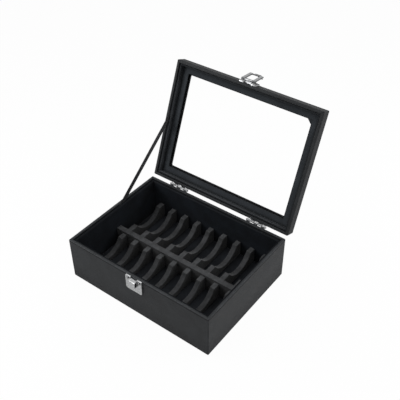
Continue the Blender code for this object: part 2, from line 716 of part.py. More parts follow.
def add_ring(bench):
    """The ring that swings over the boss: two strips that end in eyes, a far bar and a thumb tab that curls out."""
    back, far = PIVOT_Y + RING_DEPTH, PIVOT_Z - RING_REACH
    eye = arc((PIVOT_Y, PIVOT_Z), RING_DEPTH, 0, 3 * math.pi / 2, ROUND_STEPS)
    outline = [(PIVOT_Y, far), (back, far), *eye]
    middle = (RING_WIDTH - RING_STRIP) / 2
    strips = [
        flat_plate_mesh(f"{side}_strip", outline, RING_STRIP, Matrix.Translation((way * middle, 0, 0)) @ SIDE_VIEW)
        for side, way in (("left", -1), ("right", 1))
    ]
    ring = bench.add("latch_ring", strips[0], CHROME, (0, 0, 0), "latch_ring_axis", smooth=True)
    bench.boolean(ring, strips[1], "UNION")
    bench.boolean(ring, placed_box("far_bar", (-middle, PIVOT_Y, far), (middle, back, far + RING_BAR)), "UNION")
    root = (PIVOT_Y + RING_DEPTH / 2 - THUMB_RADIUS, far + RING_BAR / 2)
    inner = arc(root, THUMB_RADIUS - THUMB_THICKNESS / 2, 0, -THUMB_ANGLE, ROUND_STEPS // 2)
    outer = arc(root, THUMB_RADIUS + THUMB_THICKNESS / 2, -THUMB_ANGLE, 0, ROUND_STEPS // 2)
    bench.boolean(ring, flat_plate_mesh("thumb_tab", inner + outer, THUMB_WIDTH, SIDE_VIEW), "UNION")
    ends = [(x, PIVOT_Y, PIVOT_Z) for x in (-RING_WIDTH, RING_WIDTH)]
    bench.boolean(ring, rod_mesh("eyes", RING_PIVOT_BORE, *ends, steps=PIN_STEPS), "DIFFERENCE")


def add_ribbon(bench):
    """The flat ribbon in the groove of the left walls, taut between base and lid, which stops the lid."""
    base_end = Vector((HINGE_Y - RIBBON_BASE_ARM, BASE_HEIGHT))
    arm = Vector((-RIBBON_LID_ARM, LID_RIM - HINGE_Z))
    lid_end = Vector((HINGE_Y, HINGE_Z)) + Matrix.Rotation(-LID_OPEN_ANGLE, 2) @ arm
    along = (lid_end - base_end).normalized()
    across = Vector((-along.y, along.x)) * RIBBON_WIDTH / 2
    start, end = base_end - along * RIBBON_TAIL, lid_end + along * RIBBON_TAIL
    outline = [tuple(p) for p in (start - across, end - across, end + across, start + across)]
    side = RIBBON_GROOVE / 2 + WALL_DEPTH - HALF_X
    place = Matrix.Translation((side, 0, 0)) @ SIDE_VIEW
    bench.add("stay_ribbon", flat_plate_mesh("stay_ribbon", outline, RIBBON_THICKNESS, place), RIBBON_CLOTH)


def main():
    clear_scene()
    bench = Bench()
    bench.pivot("lid_hinge_axis", (0, HINGE_Y, HINGE_Z), -LID_OPEN_ANGLE)
    bench.pivot("latch_ring_axis", (0, PIVOT_Y, PIVOT_Z), -RING_FOLD_ANGLE, "lid_hinge_axis")
    base_wrap, base_front = add_base_shell(bench)
    add_tray(bench)
    lid_wrap, lid_front = add_lid_shell(bench)
    for side, way in (("left", -1), ("right", 1)):
        add_hinge(bench, side, way * (HALF_X - HINGE_INSET))
    add_catch(bench, base_wrap, base_front)
    add_hasp(bench, lid_wrap, lid_front)
    add_ring(bench)
    add_ribbon(bench)
    bench.turn_pivots()


main()
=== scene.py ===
"""Bangle box: finishes, leather, soft tray, latch and hinges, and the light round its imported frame.

Metres, +Z up, +Y towards the hinges. Pieces of the lid are modelled with the lid closed and then turned open.
"""

import json
import math
import random
from contextlib import contextmanager

import bmesh
import bpy
from mathutils import Euler, Matrix, Vector


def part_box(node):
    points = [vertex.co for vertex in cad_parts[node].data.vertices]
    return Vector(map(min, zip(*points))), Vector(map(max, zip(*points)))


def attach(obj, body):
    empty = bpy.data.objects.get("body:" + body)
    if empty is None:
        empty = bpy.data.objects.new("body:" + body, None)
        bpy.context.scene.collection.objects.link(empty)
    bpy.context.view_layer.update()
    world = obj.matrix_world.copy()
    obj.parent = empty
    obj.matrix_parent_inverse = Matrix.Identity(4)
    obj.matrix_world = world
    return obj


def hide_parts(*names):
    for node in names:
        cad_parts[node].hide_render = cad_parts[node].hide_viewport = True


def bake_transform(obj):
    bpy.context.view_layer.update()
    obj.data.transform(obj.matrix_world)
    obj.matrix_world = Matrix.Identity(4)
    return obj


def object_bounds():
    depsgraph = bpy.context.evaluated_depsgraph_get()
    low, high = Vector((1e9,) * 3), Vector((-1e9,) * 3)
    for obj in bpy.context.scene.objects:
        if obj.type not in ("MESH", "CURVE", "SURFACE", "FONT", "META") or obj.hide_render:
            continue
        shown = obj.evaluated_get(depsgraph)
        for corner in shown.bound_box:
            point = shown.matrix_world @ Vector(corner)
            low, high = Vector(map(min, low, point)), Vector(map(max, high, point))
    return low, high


bl_info = {
    "name": "Bangle Box",
    "version": (1, 0, 0),
    "blender": (4, 5, 0),
    "location": "3D View > Sidebar > Bangle Box",
    "description": "Finishes and fine pieces of a leather-covered bangle box with a glass lid",
    "category": "Object",
}

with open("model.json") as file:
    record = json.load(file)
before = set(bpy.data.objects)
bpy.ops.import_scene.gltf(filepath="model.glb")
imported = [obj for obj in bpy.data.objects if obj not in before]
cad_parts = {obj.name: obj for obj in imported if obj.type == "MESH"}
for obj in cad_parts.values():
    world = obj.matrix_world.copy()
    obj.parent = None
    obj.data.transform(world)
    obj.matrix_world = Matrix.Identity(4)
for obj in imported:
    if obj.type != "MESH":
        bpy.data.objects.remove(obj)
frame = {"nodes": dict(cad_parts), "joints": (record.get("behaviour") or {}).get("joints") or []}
CAD_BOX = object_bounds()
NODES = frame["nodes"]
JOINTS = {joint["name"]: joint for joint in frame["joints"]}
WALLS = ("front", "back", "left", "right")


def turn_about(joint, degrees):
    place = Matrix.Translation(Vector(joint["pos_m"]))
    return place @ Matrix.Rotation(math.radians(degrees), 4, Vector(joint["axis"])) @ place.inverted()


# From the closed box to the pose at rest: the lid turned open, and the ring folded back on it
LID_OPEN = turn_about(JOINTS["lid_hinge"], -JOINTS["lid_hinge"]["range_deg"][1])
RING_OPEN = turn_about(JOINTS["latch_ring_pivot"], -JOINTS["latch_ring_pivot"]["range_deg"][1]) @ LID_OPEN

# The way back to the closed box, as a turn and a place for patterns
CLOSING = LID_OPEN.inverted().to_euler(), LID_OPEN.inverted().to_translation()


def closed_box(name, opened=LID_OPEN):
    """The lowest and highest corners of a node before it was turned open."""
    back = opened.inverted()
    places = [back @ corner.co for corner in NODES[name].data.vertices]
    return Vector(map(min, zip(*places))), Vector(map(max, zip(*places)))


# Settings that a user would change


def length_setting(name, description, default):
    return bpy.props.FloatProperty(
        name=name, description=description, default=default, subtype="DISTANCE", unit="LENGTH"
    )


def colour_setting(name, description, default):
    return bpy.props.FloatVectorProperty(
        name=name, description=description, default=default, subtype="COLOR", size=3, min=0.0, max=1.0
    )


def share_setting(name, description, default):
    return bpy.props.FloatProperty(
        name=name, description=description, default=default, min=0.0, max=1.0, subtype="FACTOR"
    )


def power_setting(name, description, default):
    return bpy.props.FloatProperty(name=name, description=description, default=default, unit="POWER")


class BangleBoxLeather(bpy.types.PropertyGroup):
    """The leather that wraps the case and its lid."""

    colour: colour_setting("Colour", "Colour of the leather", (0.0150, 0.0162, 0.0178))
    # The colour of edge wear and of painted highlight over the rim and corners, and of painted light in the
    # notch
    worn_and_lit: colour_setting("Worn colour", "Colour where the leather is rubbed", (0.060, 0.064, 0.068))
    grain: length_setting("Grain", "Width of one pebble of the grain", 0.0008)
    relief: length_setting("Relief", "Height of the pebbles", 0.000028)
    roughness: share_setting("Roughness", "Roughness of the leather's face", 0.44)


class BangleBoxTray(bpy.types.PropertyGroup):
    """The soft tray and the velvet that lines the walls."""

    foam: colour_setting("Foam colour", "Colour of the flocked foam", (0.0385, 0.0397, 0.0417))
    pad: colour_setting("Pad colour", "Colour of the padded floor", (0.0080, 0.0090, 0.0108))
    velvet: colour_setting("Velvet colour", "Colour of the velvet", (0.0032, 0.0043, 0.0060))
    # The lid's velvet and the mat are lighter copies of the case's velvet: painted light
    lid_velvet: colour_setting("Lid velvet colour", "Colour of the lid's velvet", (0.0190, 0.0208, 0.0235))
    mat: colour_setting("Mat colour", "Colour of the mat round the window", (0.0215, 0.0242, 0.0275))
    scoop_radius: length_setting("Scoop radius", "Radius of the scoop in a divider", 0.0247)
    scoop_depth: length_setting("Scoop depth", "How far the scoop goes down into a divider", 0.0131)
    scoop_shift: length_setting("Scoop shift", "How far the scoop is nearer the back end", 0.0019)
    soft_edge: length_setting("Soft edge", "Radius of the edges of the foam", 0.0006)


class BangleBoxMetal(bpy.types.PropertyGroup):
    """The chromed latch and hinges."""

    colour: colour_setting("Colour", "Colour of the plating of the catch", (0.40, 0.405, 0.41))
    # The hasp and the ring are darker copies of the catch's plating: painted shade and dark reflection
    hasp: colour_setting("Hasp colour", "Colour of the plating of the hasp", (0.28, 0.284, 0.29))
    hinge: colour_setting("Hinge colour", "Colour of the plating of the hinges", (0.33, 0.334, 0.34))
    ring: colour_setting("Ring colour", "Colour of the plating of the ring", (0.33, 0.335, 0.34))
    # The side colour is painted: dark reflection on the sides of the plating, and shade in its hollows
    side: colour_setting("Side colour", "Colour of the sheared sides and the hollows", (0.060, 0.062, 0.065))
    roughness: share_setting("Roughness", "Roughness of the plating", 0.26)
    plate: length_setting("Plate", "Thickness of the latch plates", 0.0016)
    border: length_setting("Border", "Width of the raised border of the latch plates", 0.0011)
    dish: length_setting("Dish", "How far the plates are pressed in inside their border", 0.00045)
    notch_width: length_setting("Notch width", "Width of the notch between the ears", 0.0086)
    notch_depth: length_setting("Notch depth", "Depth of the notch between the ears", 0.0028)
    boss_width: length_setting("Boss width", "Width of the bridge that the ring goes over", 0.0080)
    boss_low: length_setting("Boss level", "Level of the lower end of the bridge", 0.04655)
    boss_height: length_setting("Boss height", "Height of the bridge", 0.0082)
    wall: length_setting("Wall", "Thickness of the bridge's wall", 0.0011)
    ring_half: length_setting("Ring half width", "Half of the ring's width", 0.0095)
    strip: length_setting("Strip", "Width of the ring's side strips", 0.0044)
    ring_depth: length_setting("Ring depth", "Thickness of the ring", 0.0016)
    thumb_width: length_setting("Thumb tab width", "Width of the thumb tab", 0.0064)
    thumb_radius: length_setting("Thumb tab radius", "Radius on which the thumb tab curls out", 0.0115)
    leaf: length_setting("Leaf", "Thickness of a hinge leaf, the strap and the thumb tab", 0.0009)
    knuckle: length_setting("Knuckle", "Radius of a hinge knuckle", 0.00115)
    screw: length_setting("Screw head", "Radius of a screw's head", 0.0013)


class BangleBoxCloth(bpy.types.PropertyGroup):
    """The ribbon and the felt."""

    ribbon: colour_setting("Ribbon colour", "Colour of the stay ribbon", (0.0060, 0.0062, 0.0070))
    felt: colour_setting("Felt colour", "Colour of the felt under the case", (0.016, 0.016, 0.017))
    rib: length_setting("Rib", "Width of one rib of the ribbon's weave", 0.0005)


class BangleBoxStage(bpy.types.PropertyGroup):
    """The studio."""

    floor: colour_setting("Floor colour", "Colour of the floor", (0.66, 0.66, 0.66))
    sky: share_setting("Sky", "Light from all round", 0.5)
    key: power_setting("Key lamp", "Power of the key lamp", 2.6)
    fill: power_setting("Fill lamp", "Power of the fill lamp", 2.6)
    top: power_setting("Top lamp", "Power of the lamp overhead", 4.0)


# Shader maths


class Wire:
    """The output of a shader node, which takes part in Python sums."""

    def __init__(self, paint, socket):
        self.paint, self.socket = paint, socket

    def maths(self, operation, *values):
        return self.paint.node("ShaderNodeMath", {"operation": operation}, dict(enumerate(values)))

    def __add__(self, other):
        return self.maths("ADD", self, other)

    def __sub__(self, other):
        return self.maths("SUBTRACT", self, other)

    def __rsub__(self, other):
        return self.maths("SUBTRACT", other, self)

    def __mul__(self, other):
        return self.maths("MULTIPLY", self, other)

    def __lt__(self, other):
        return self.maths("LESS_THAN", self, other)

    def __gt__(self, other):
        return self.maths("GREATER_THAN", self, other)

    def __abs__(self):
        return self.maths("ABSOLUTE", self)

    def least(self, other):
        return self.maths("MINIMUM", self, other)

    def most(self, other):
        return self.maths("MAXIMUM", self, other)

    def ramp(self, low, high, start=0.0, end=1.0):
        """Start where this is at low, end where it is at high, and smooth between them."""
        names = {"Value": self, "From Min": low, "From Max": high, "To Min": start, "To Max": end}
        return self.paint.node("ShaderNodeMapRange", {"interpolation_type": "SMOOTHSTEP"}, names, "Result")

    def fade(self, low, high, full=1.0):
        """Full where this is at low, nothing where it is at high, and smooth between them."""
        return self.ramp(low, high, full, 0.0)

    __radd__, __rmul__ = __add__, __mul__


class Paint:
    """A material, whose nodes are added one by one."""

    def __init__(self, name, owner=None):
        self.material = owner or bpy.data.materials.new(name)
        self.material.use_nodes = True
        self.tree = self.material.node_tree
        self.tree.nodes.clear()

    def node(self, kind, settings=None, values=None, output=0):
        """Adds a node: its settings are set first, then its sockets are given values or links."""
        made = self.tree.nodes.new(kind)
        for key, value in (settings or {}).items():
            setattr(made, key, value)
        for key, value in (values or {}).items():
            if isinstance(value, Wire):
                self.tree.links.new(value.socket, made.inputs[key])
            else:
                made.inputs[key].default_value = value
        return Wire(self, made.outputs[output]) if made.outputs else None

    def place(self, turn=None, where=(0.0, 0.0, 0.0)):
        """Object coordinates. A turn and a place bring a pattern to a piece that was turned open."""
        found = self.node("ShaderNodeTexCoord", output="Object")
        if turn is None:
            return found
        return self.node("ShaderNodeMapping", None, {"Vector": found, "Rotation": turn, "Location": where})

    def split(self, vector):
        """The x, y and z of a vector."""
        made = self.node("ShaderNodeSeparateXYZ", None, {"Vector": vector})
        return [Wire(self, output) for output in made.socket.node.outputs]

    def noise(self, place, size, detail=2.0, roughness=0.5):
        """Cloudy noise from 0 to 1, whose blots are about as wide as size."""
        values = {"Vector": place, "Scale": 1 / size, "Detail": detail, "Roughness": roughness}
        return self.node("ShaderNodeTexNoise", None, values, "Fac")

    def stretched(self, place, scale):
        return self.node("ShaderNodeVectorMath", {"operation": "MULTIPLY"}, {0: place, 1: scale})

    def cells(self, place, size, feature="F1"):
        values = {"Vector": place, "Scale": 1 / size}
        return self.node("ShaderNodeTexVoronoi", {"feature": feature}, values, "Distance")

    def mix(self, share, first, second):
        """A colour between two others."""
        colours = [(*c, 1.0) if not isinstance(c, Wire) else c for c in (first, second)]
        values = {0: share, 6: colours[0], 7: colours[1]}
        return self.node("ShaderNodeMix", {"data_type": "RGBA"}, values, 2)

    def wave(self, value):
        return self.node("ShaderNodeMath", {"operation": "SINE"}, {0: value})

    def seen(self):
        """One for rays from the camera, in gloss and through glass."""
        rays = self.node("ShaderNodeLightPath").socket.node
        kinds = ("Camera", "Glossy", "Transmission")
        camera, gloss, glass = (Wire(self, rays.outputs[f"Is {kind} Ray"]) for kind in kinds)
        return camera.most(gloss).most(glass)

    def bump(self, height, relief, under=None):
        """A bump of that relief in metres, on top of another if one is under it."""
        values = {"Height": height, "Distance": relief}
        if under:
            values["Normal"] = under
        return self.node("ShaderNodeBump", None, values)

    def shader(self, values):
        return self.node("ShaderNodeBsdfPrincipled", None, values)

    def cloth(self, colour, roughness, normal, sheen, sheen_roughness, gloss):
        """A finished soft material, with the sheen of loose fibres."""
        values = {"Base Color": colour, "Roughness": roughness, "Normal": normal}
        soft = {"Sheen Weight": sheen, "Sheen Roughness": sheen_roughness, "Specular IOR Level": gloss}
        return self.done(self.shader({**values, **soft}))

    def done(self, shader):
        self.node("ShaderNodeOutputMaterial", None, {"Surface": shader})
        return self.material


# Modelling

# How near counts as at a level, as parallel and as facing, and how close points are merged and edges are none
NEAR, PARALLEL, FACING = 0.00001, 0.001, 0.99
MERGE, LAST_MERGE, NO_LENGTH = 0.000003, 0.000004, 0.000001


def alone(obj):
    """Selects one object and makes it active."""
    bpy.ops.object.select_all(action="DESELECT")
    obj.select_set(True)
    bpy.context.view_layer.objects.active = obj


def settle(obj):
    """Puts the object's place, turn and size into its mesh."""
    alone(obj)
    bpy.ops.object.transform_apply(location=True, rotation=True, scale=True)
    return obj


def start(kind, name, scale=(1, 1, 1), **where):
    """A new primitive at its place and size, alone in the selection."""
    bpy.ops.object.select_all(action="DESELECT")
    getattr(bpy.ops.mesh, f"primitive_{kind}_add")(**where)
    obj = bpy.context.object
    obj.scale = scale
    obj.name = obj.data.name = name
    return settle(obj)


def block(name, low, high):
    low, high = Vector(low), Vector(high)
    return start("cube", name, size=1, location=(low + high) / 2, scale=high - low)


def rod(name, radius, first, last, sides=32):
    """A round rod between two points."""
    first, last = Vector(first), Vector(last)
    along = last - first
    turn = along.to_track_quat("Z", "Y").to_euler()
    return start(
        "cylinder", name, vertices=sides, radius=radius, depth=along.length,
        location=(first + last) / 2, rotation=turn,
    )


def bore(first, last, y, z):
    """A rod along X that cuts the hole for a pin."""
    return rod("bore", BORE_RADIUS, (first, y, z), (last, y, z), sides=24)


@contextmanager
def editing(obj, mode="FACE"):
    alone(obj)
    bpy.ops.object.mode_set(mode="EDIT")
    bpy.ops.mesh.select_mode(type=mode)
    bpy.ops.mesh.select_all(action="DESELECT")
    yield
    bpy.ops.object.mode_set(mode="OBJECT")


def choose(obj, kind, test):
    """Selects the faces, edges or verts that pass a test."""
    bm = bmesh.from_edit_mesh(obj.data)
    bpy.ops.mesh.select_all(action="DESELECT")
    for item in getattr(bm, kind):
        if test(item):
            item.select_set(True)
    bm.select_flush_mode()
    bmesh.update_edit_mesh(obj.data)


def middle_of(item):
    return sum((v.co for v in item.verts), Vector()) / len(item.verts)


def runs_along(edge, axis):
    """True if an edge is parallel to an axis."""
    way = (edge.verts[1].co - edge.verts[0].co).normalized()
    return abs(abs(way[axis]) - 1) < PARALLEL


def along_at(axis, level):
    """A test for edges that are parallel to an axis, with their middle at a level."""
    return lambda e: runs_along(e, axis) and abs(middle_of(e).z - level) < NEAR


def press(obj, border, depth):
    """Sets the faces that look towards -Y out, or in by a negative depth, inside a border."""
    with editing(obj):
        choose(obj, "faces", lambda f: f.normal.y < -FACING)
        bpy.ops.mesh.inset(thickness=border, depth=depth)


def modify(obj, kind, **settings):
    """Adds a modifier, sets it and applies it."""
    alone(obj)
    modifier = obj.modifiers.new(kind.lower(), kind)
    for key, value in settings.items():
        setattr(modifier, key, value)
    bpy.ops.object.modifier_apply(modifier=modifier.name)


def combine(obj, tool, operation="DIFFERENCE"):
    """Cuts a tool from the piece, or adds it, and takes the tool away."""
    modify(obj, "BOOLEAN", operation=operation, solver="EXACT", object=tool)
    bpy.data.objects.remove(tool, do_unlink=True)
    with editing(obj, "VERT"):
        bpy.ops.mesh.select_all(action="SELECT")
        bpy.ops.mesh.remove_doubles(threshold=MERGE)
        bpy.ops.mesh.dissolve_degenerate(threshold=NO_LENGTH)


def join(pieces, name):
    bpy.ops.object.select_all(action="DESELECT")
    for piece in pieces:
        piece.select_set(True)
    bpy.context.view_layer.objects.active = pieces[0]
    bpy.ops.object.join()
    pieces[0].name = pieces[0].data.name = name
    return pieces[0]


def copy_to(obj, name, place):
    """A copy with its own mesh, into which its place is put."""
    copy = obj.copy()
    copy.data = obj.data.copy()
    bpy.context.scene.collection.objects.link(copy)
    copy.name = copy.data.name = name
    copy.matrix_world = place
    return settle(copy)


def bevel_where(obj, test, offset, segments):
    """Rounds the edges that pass a test."""
    with editing(obj, "EDGE"):
        choose(obj, "edges", test)
        bpy.ops.mesh.bevel(offset=offset, segments=segments, affect="EDGES")


def round_edges(obj, radius, segments=3, angle=30):
    modify(
        obj, "BEVEL", width=radius, segments=segments, limit_method="ANGLE", angle_limit=math.radians(angle),
        use_clamp_overlap=True,
    )


def deliver(obj, body, finish, stands_for=(), opened=None, angle=35, even=False):
    """Turns a finished piece open with its body, smooths it, and gives it its finish and its body."""
    if opened is not None:
        obj.matrix_world = opened
    settle(obj)
    with editing(obj):
        bpy.ops.mesh.select_all(action="SELECT")
        bpy.ops.mesh.remove_doubles(threshold=LAST_MERGE)
        bpy.ops.mesh.normals_make_consistent(inside=False)
    alone(obj)
    bpy.ops.object.shade_smooth_by_angle(angle=math.radians(angle))
    if even:
        modify(obj, "WEIGHTED_NORMAL", keep_sharp=True)
    obj.data.materials.clear()
    obj.data.materials.append(finish)
    if stands_for:
        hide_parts(*stands_for)
    if body:
        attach(obj, body)
    return obj


def dress(names, finish):
    """Gives CAD nodes a finish."""
    for name in names:
        for place in NODES[name].material_slots:
            place.material = finish


# Finishes

WHITE = (1.0, 1.0, 1.0, 1.0)

# Bands on the leather, in metres from a face, a level or a corner, between which each mark sets in or fades
# Edge wear with a painted highlight over the rim sets in across these bands
SKIN_BAND, RIM_BAND, WEAR_AND_HIGHLIGHT_BAND = (0.0004, 0.0009), (0.0003, 0.0009), (0.0010, 0.0036)
# Painted shade on the step inside the rim
GROOVE_SHADE_BAND, GROOVE_SHADE_REACH = (0.0034, 0.0038), (0.0120, 0.0130)
# The notch bands hold the painted light in the catch's notch
NOTCH_LIGHT_BAND, NOTCH_LIGHT_REACH = (0.0042, 0.0052), (0.005, 0.007)
# A fold line below the rim: real in relief, with painted shade as its darkness
CREASE_LEVEL, CREASE_BAND, CREASE_DEPTH = 0.0012, (0.0002, 0.0007), 0.00012
# A painted contact shadow at the bottom edge, and painted shade that grows towards the bottom
FOOT_SHADOW_BAND, SHADE_BAND = (0.0006, 0.0022), (0.0, 0.030)
MITRE_BAND, MITRE_REACH, CORNER_BAND = (0.00008, 0.0003), (0.0003, 0.0006), (0.0002, 0.0012)
# The colour of painted shade, and of the mitre folds
SHADE_AND_FOLD_COLOUR = (0.002, 0.002, 0.0025)

# Velvet: the size of a strand and of a patch, their relief, and the band of painted highlight below an edge
STRAND, PATCH, MAT_STRAND, MAT_PATCH = 0.00022, 0.018, 0.00024, 0.016
STRAND_RELIEF, PATCH_RELIEF = 0.00006, 0.0002
LIP, HIGHLIGHT_BAND, HIGHLIGHT_COLOUR = 0.0001, (0.0004, 0.0028), (0.050, 0.053, 0.057)

# The mat: the width of a brush stroke, the band of painted shade at its corner under the lining, and the band
# at its cut edge
STROKE, MAT_CORNER_SHADE, MAT_EDGE = 0.0016, (0.0062, 0.0105), (0.0132, 0.0141)

# Foam, felt and board: the size of each mark and its relief
DENT, FLOCK, FIBRE, DENT_RELIEF, FLOCK_RELIEF = 0.007, 0.00035, 0.0005, 0.0004, 0.00016
FELT_FIBRE, FELT_RELIEF = 0.0006, 0.00015
BOARD_FIBRE, BOARD_BLOT, BOARD_RELIEF = 0.0008, 0.009, 0.0001
BOARD_COLOURS = (0.16, 0.115, 0.072), (0.33, 0.25, 0.165)
BLOT_COLOUR = (0.20, 0.16, 0.11)

# Plating: the size of each mark and its relief
RIPPLE, SMEAR, PIT, SCRATCH = 0.0035, 0.0014, 0.00045, 0.00022
RIPPLE_RELIEF, PIT_RELIEF, SCRATCH_RELIEF = 0.0003, 0.00002, 0.000006

# The ribbon's relief, and the glass: its index of refraction and the size of a smear
WEAVE_RELIEF = 0.00008
GLASS_INDEX, GLASS_SMEAR = 1.45, 0.03


def toned(colour, share):
    """A colour made darker or lighter by a share."""
    return [part * share for part in colour]


def insets(x, y):
    """How far a point of the closed case lies in from its sides, and from its front and back."""
    half_x, half_y = CAD_BOX[1][0], closed_box("base_leather_wrap", Matrix())[1].y
    return half_x - abs(x), half_y - abs(y)


def leather_grain(paint, place, grain):
    """The pebbles, the fine grain on them and broad clouds, each from 0 to 1."""
    clouds = {"Vector": place, "Scale": 0.4 / grain, "Detail": 1.0}
    drift = paint.node("ShaderNodeTexNoise", None, clouds, "Color")
    drift = paint.node("ShaderNodeVectorMath", {"operation": "SCALE"}, {0: drift, "Scale": grain * 0.9})
    bent = paint.node("ShaderNodeVectorMath", {"operation": "ADD"}, {0: place, 1: drift})
    pebbles = paint.cells(bent, grain, "DISTANCE_TO_EDGE").ramp(0.0, 0.22)
    return pebbles, paint.noise(place, grain / 5, 3.0), paint.noise(place, grain * 22, 3.0)


def leather_finish(name, looks, rim, back, rubbed_and_lit, turn=None, where=(0.0, 0.0, 0.0)):
    """Pebbled leather with edge wear, painted highlight over the rim, painted light in the notch and painted
    shade in creases. Rim and back are levels when shut.
    """
    paint = Paint(name)
    pebbles, fine, broad = leather_grain(paint, paint.place(), looks.grain)
    x, y, z = paint.split(paint.place(turn, where))
    in_x, in_y = insets(x, y)
    inset = in_x.least(in_y)
    outside = inset.fade(*SKIN_BAND)
    from_rim, from_back = abs(z - rim), abs(z - back)
    # Edge wear with a painted highlight over the rim and, weaker, on the vertical corners
    rim_wear_and_highlight = from_rim.fade(*RIM_BAND) * inset.fade(*WEAR_AND_HIGHLIGHT_BAND, rubbed_and_lit)
    # Painted shade on the step face inside the rim, above the lining
    groove_shade = inset.ramp(*GROOVE_SHADE_BAND) * from_rim.fade(*GROOVE_SHADE_REACH)
    # Painted light on the leather in the notch behind the catch, where the plates shade it, with no painted
    # line of shade there
    notch = abs(x).fade(*NOTCH_LIGHT_BAND, rubbed_and_lit) * outside * from_rim.fade(*NOTCH_LIGHT_REACH) * (y < 0)
    # The fold line below the rim, whose darkness is painted shade
    shaded_crease = abs(from_rim - CREASE_LEVEL).fade(*CREASE_BAND) * outside * (1 - notch)
    # Painted contact shadow along the bottom edge
    foot_shadow = from_back.fade(*FOOT_SHADOW_BAND) * outside
    shade = from_back.fade(*SHADE_BAND, 0.22) * outside
    mitre = abs(in_x - in_y).fade(*MITRE_BAND) * from_rim.fade(*MITRE_REACH)
    corner_wear_and_highlight = in_x.most(in_y).fade(*CORNER_BAND)
    worn_and_lit = rim_wear_and_highlight.most(corner_wear_and_highlight * 0.35).most(notch) * (broad * 0.5 + 0.6)
    base = paint.mix(worn_and_lit, looks.colour, looks.worn_and_lit)
    base = paint.mix(1 - pebbles, base, toned(looks.colour, 0.6))
    patches = paint.mix(broad.ramp(0.35, 0.7), toned(looks.colour, 0.75), toned(looks.colour, 1.9))
    colour = paint.mix(0.3, base, patches)
    # Painted shade and shadow from the fold line, the step, the bottom edge and the lower walls, with the
    # real mitre folds
    dark = shaded_crease.most(foot_shadow).most(mitre * 0.6).most(groove_shade).most(shade)
    colour = paint.mix(dark * 0.9, colour, SHADE_AND_FOLD_COLOUR)
    swell = paint.bump(broad, looks.grain * 0.5)
    seam = paint.bump(shaded_crease + mitre, -CREASE_DEPTH, swell)
    grain = paint.bump((pebbles * 0.8 + fine * 0.35) * (1 - groove_shade * 0.9), looks.relief, seam)
    rough = looks.roughness + (1 - pebbles) * 0.16 + (broad - 0.5) * 0.14 + dark * 0.3
    values = {"Base Color": colour, "Roughness": rough, "Normal": grain, "Specular IOR Level": 0.11}
    return paint.done(paint.shader(values))


def pile_finish(paint, colour, strands, patches):
    """The soft shader of velvet, with its strands and patches in relief."""
    normal = paint.bump(strands, STRAND_RELIEF, paint.bump(patches, PATCH_RELIEF))
    return paint.cloth(colour, 0.88 + strands * 0.1, normal, sheen=0.08, sheen_roughness=0.35, gloss=0.1)


def velvet_finish(name, colour, edge=None, rubbed_and_lit=0.8, turn=None, where=(0.0, 0.0, 0.0)):
    """Short pile, which lies another way in patches. It has a painted highlight below an edge, a level when
    shut.
    """
    paint = Paint(name)
    place = paint.place()
    patches = paint.noise(place, PATCH, 3.0)
    strands = paint.noise(place, STRAND, 2.0, 0.7)
    shade = paint.mix(patches.ramp(0.35, 0.7), toned(colour, 0.7), toned(colour, 1.6))
    speck = paint.mix(strands.ramp(0.45, 0.8), shade, toned(colour, 2.6))
    if edge is not None:
        depth = abs(paint.split(paint.place(turn, where))[2] - edge)
        # A painted highlight in a band below the edge
        light = depth.fade(*HIGHLIGHT_BAND, rubbed_and_lit) * (patches * 0.5 + 0.6)
        speck = paint.mix(light, speck, HIGHLIGHT_COLOUR)
        speck = paint.mix(depth < LIP, speck, toned(colour, 0.8))
    return pile_finish(paint, speck, strands, patches)


def mat_finish(name, colour):
    """Velvet mat, brushed along its sides, with painted shade in the corner under the lining, and dark at its
    cut edge.
    """
    paint = Paint(name)
    place = paint.place()
    x, y, _ = paint.split(paint.place(*CLOSING))
    in_x, in_y = insets(x, y)
    inset = in_x.least(in_y)
    strands = paint.noise(place, MAT_STRAND, 2.0, 0.7)
    patches = paint.noise(place, MAT_PATCH, 3.0)
    brushed = paint.noise(paint.node("ShaderNodeCombineXYZ", None, {0: inset}), STROKE, 2.0)
    # Painted shade in the corner under the lining
    light = (brushed * 0.5 + patches * 0.8) * inset.ramp(*MAT_CORNER_SHADE, 0.15, 1.0)
    light = light * inset.ramp(*MAT_EDGE, 1.0, 0.5)
    shade = paint.mix(light, toned(colour, 0.25), toned(colour, 1.6))
    speck = paint.mix(strands.ramp(0.45, 0.8), shade, toned(colour, 1.9))
    return pile_finish(paint, speck, strands, patches)


def foam_finish(name, colour, low, high):
    """Flocked foam: grainy flock, with painted light on top and painted shade down in the slots, between two
    levels.
    """
    paint = Paint(name)
    place = paint.place()
    up = paint.split(paint.node("ShaderNodeTexCoord", output="Normal"))[2]
    level = paint.split(place)[2]
    dents = paint.noise(place, DENT, 3.0)
    flock = paint.noise(place, FLOCK, 3.0, 0.75)
    fibres = paint.cells(paint.stretched(place, (1.0, 0.35, 0.6)), FIBRE)
    shade = paint.mix(dents.ramp(0.3, 0.75), toned(colour, 0.75), toned(colour, 1.25))
    flecks = paint.mix(flock.ramp(0.5, 0.85), shade, toned(colour, 2.0))
    bright = paint.mix(fibres.ramp(0.0, 0.16, 0.4, 0.0), flecks, toned(colour, 2.6))
    # Painted light on faces that look up, and painted shade on the sides and low in the slots
    rubbed_and_lit = up.ramp(0.25, 0.85, 0.26, 1.0) * level.ramp(low, high, 0.75, 1.0)
    tone = paint.mix(rubbed_and_lit, toned(colour, 0.15), bright)
    normal = paint.bump(flock, FLOCK_RELIEF, paint.bump(dents, DENT_RELIEF))
    return paint.cloth(tone, 0.9 + flock * 0.1, normal, sheen=0.12, sheen_roughness=0.5, gloss=0.12)


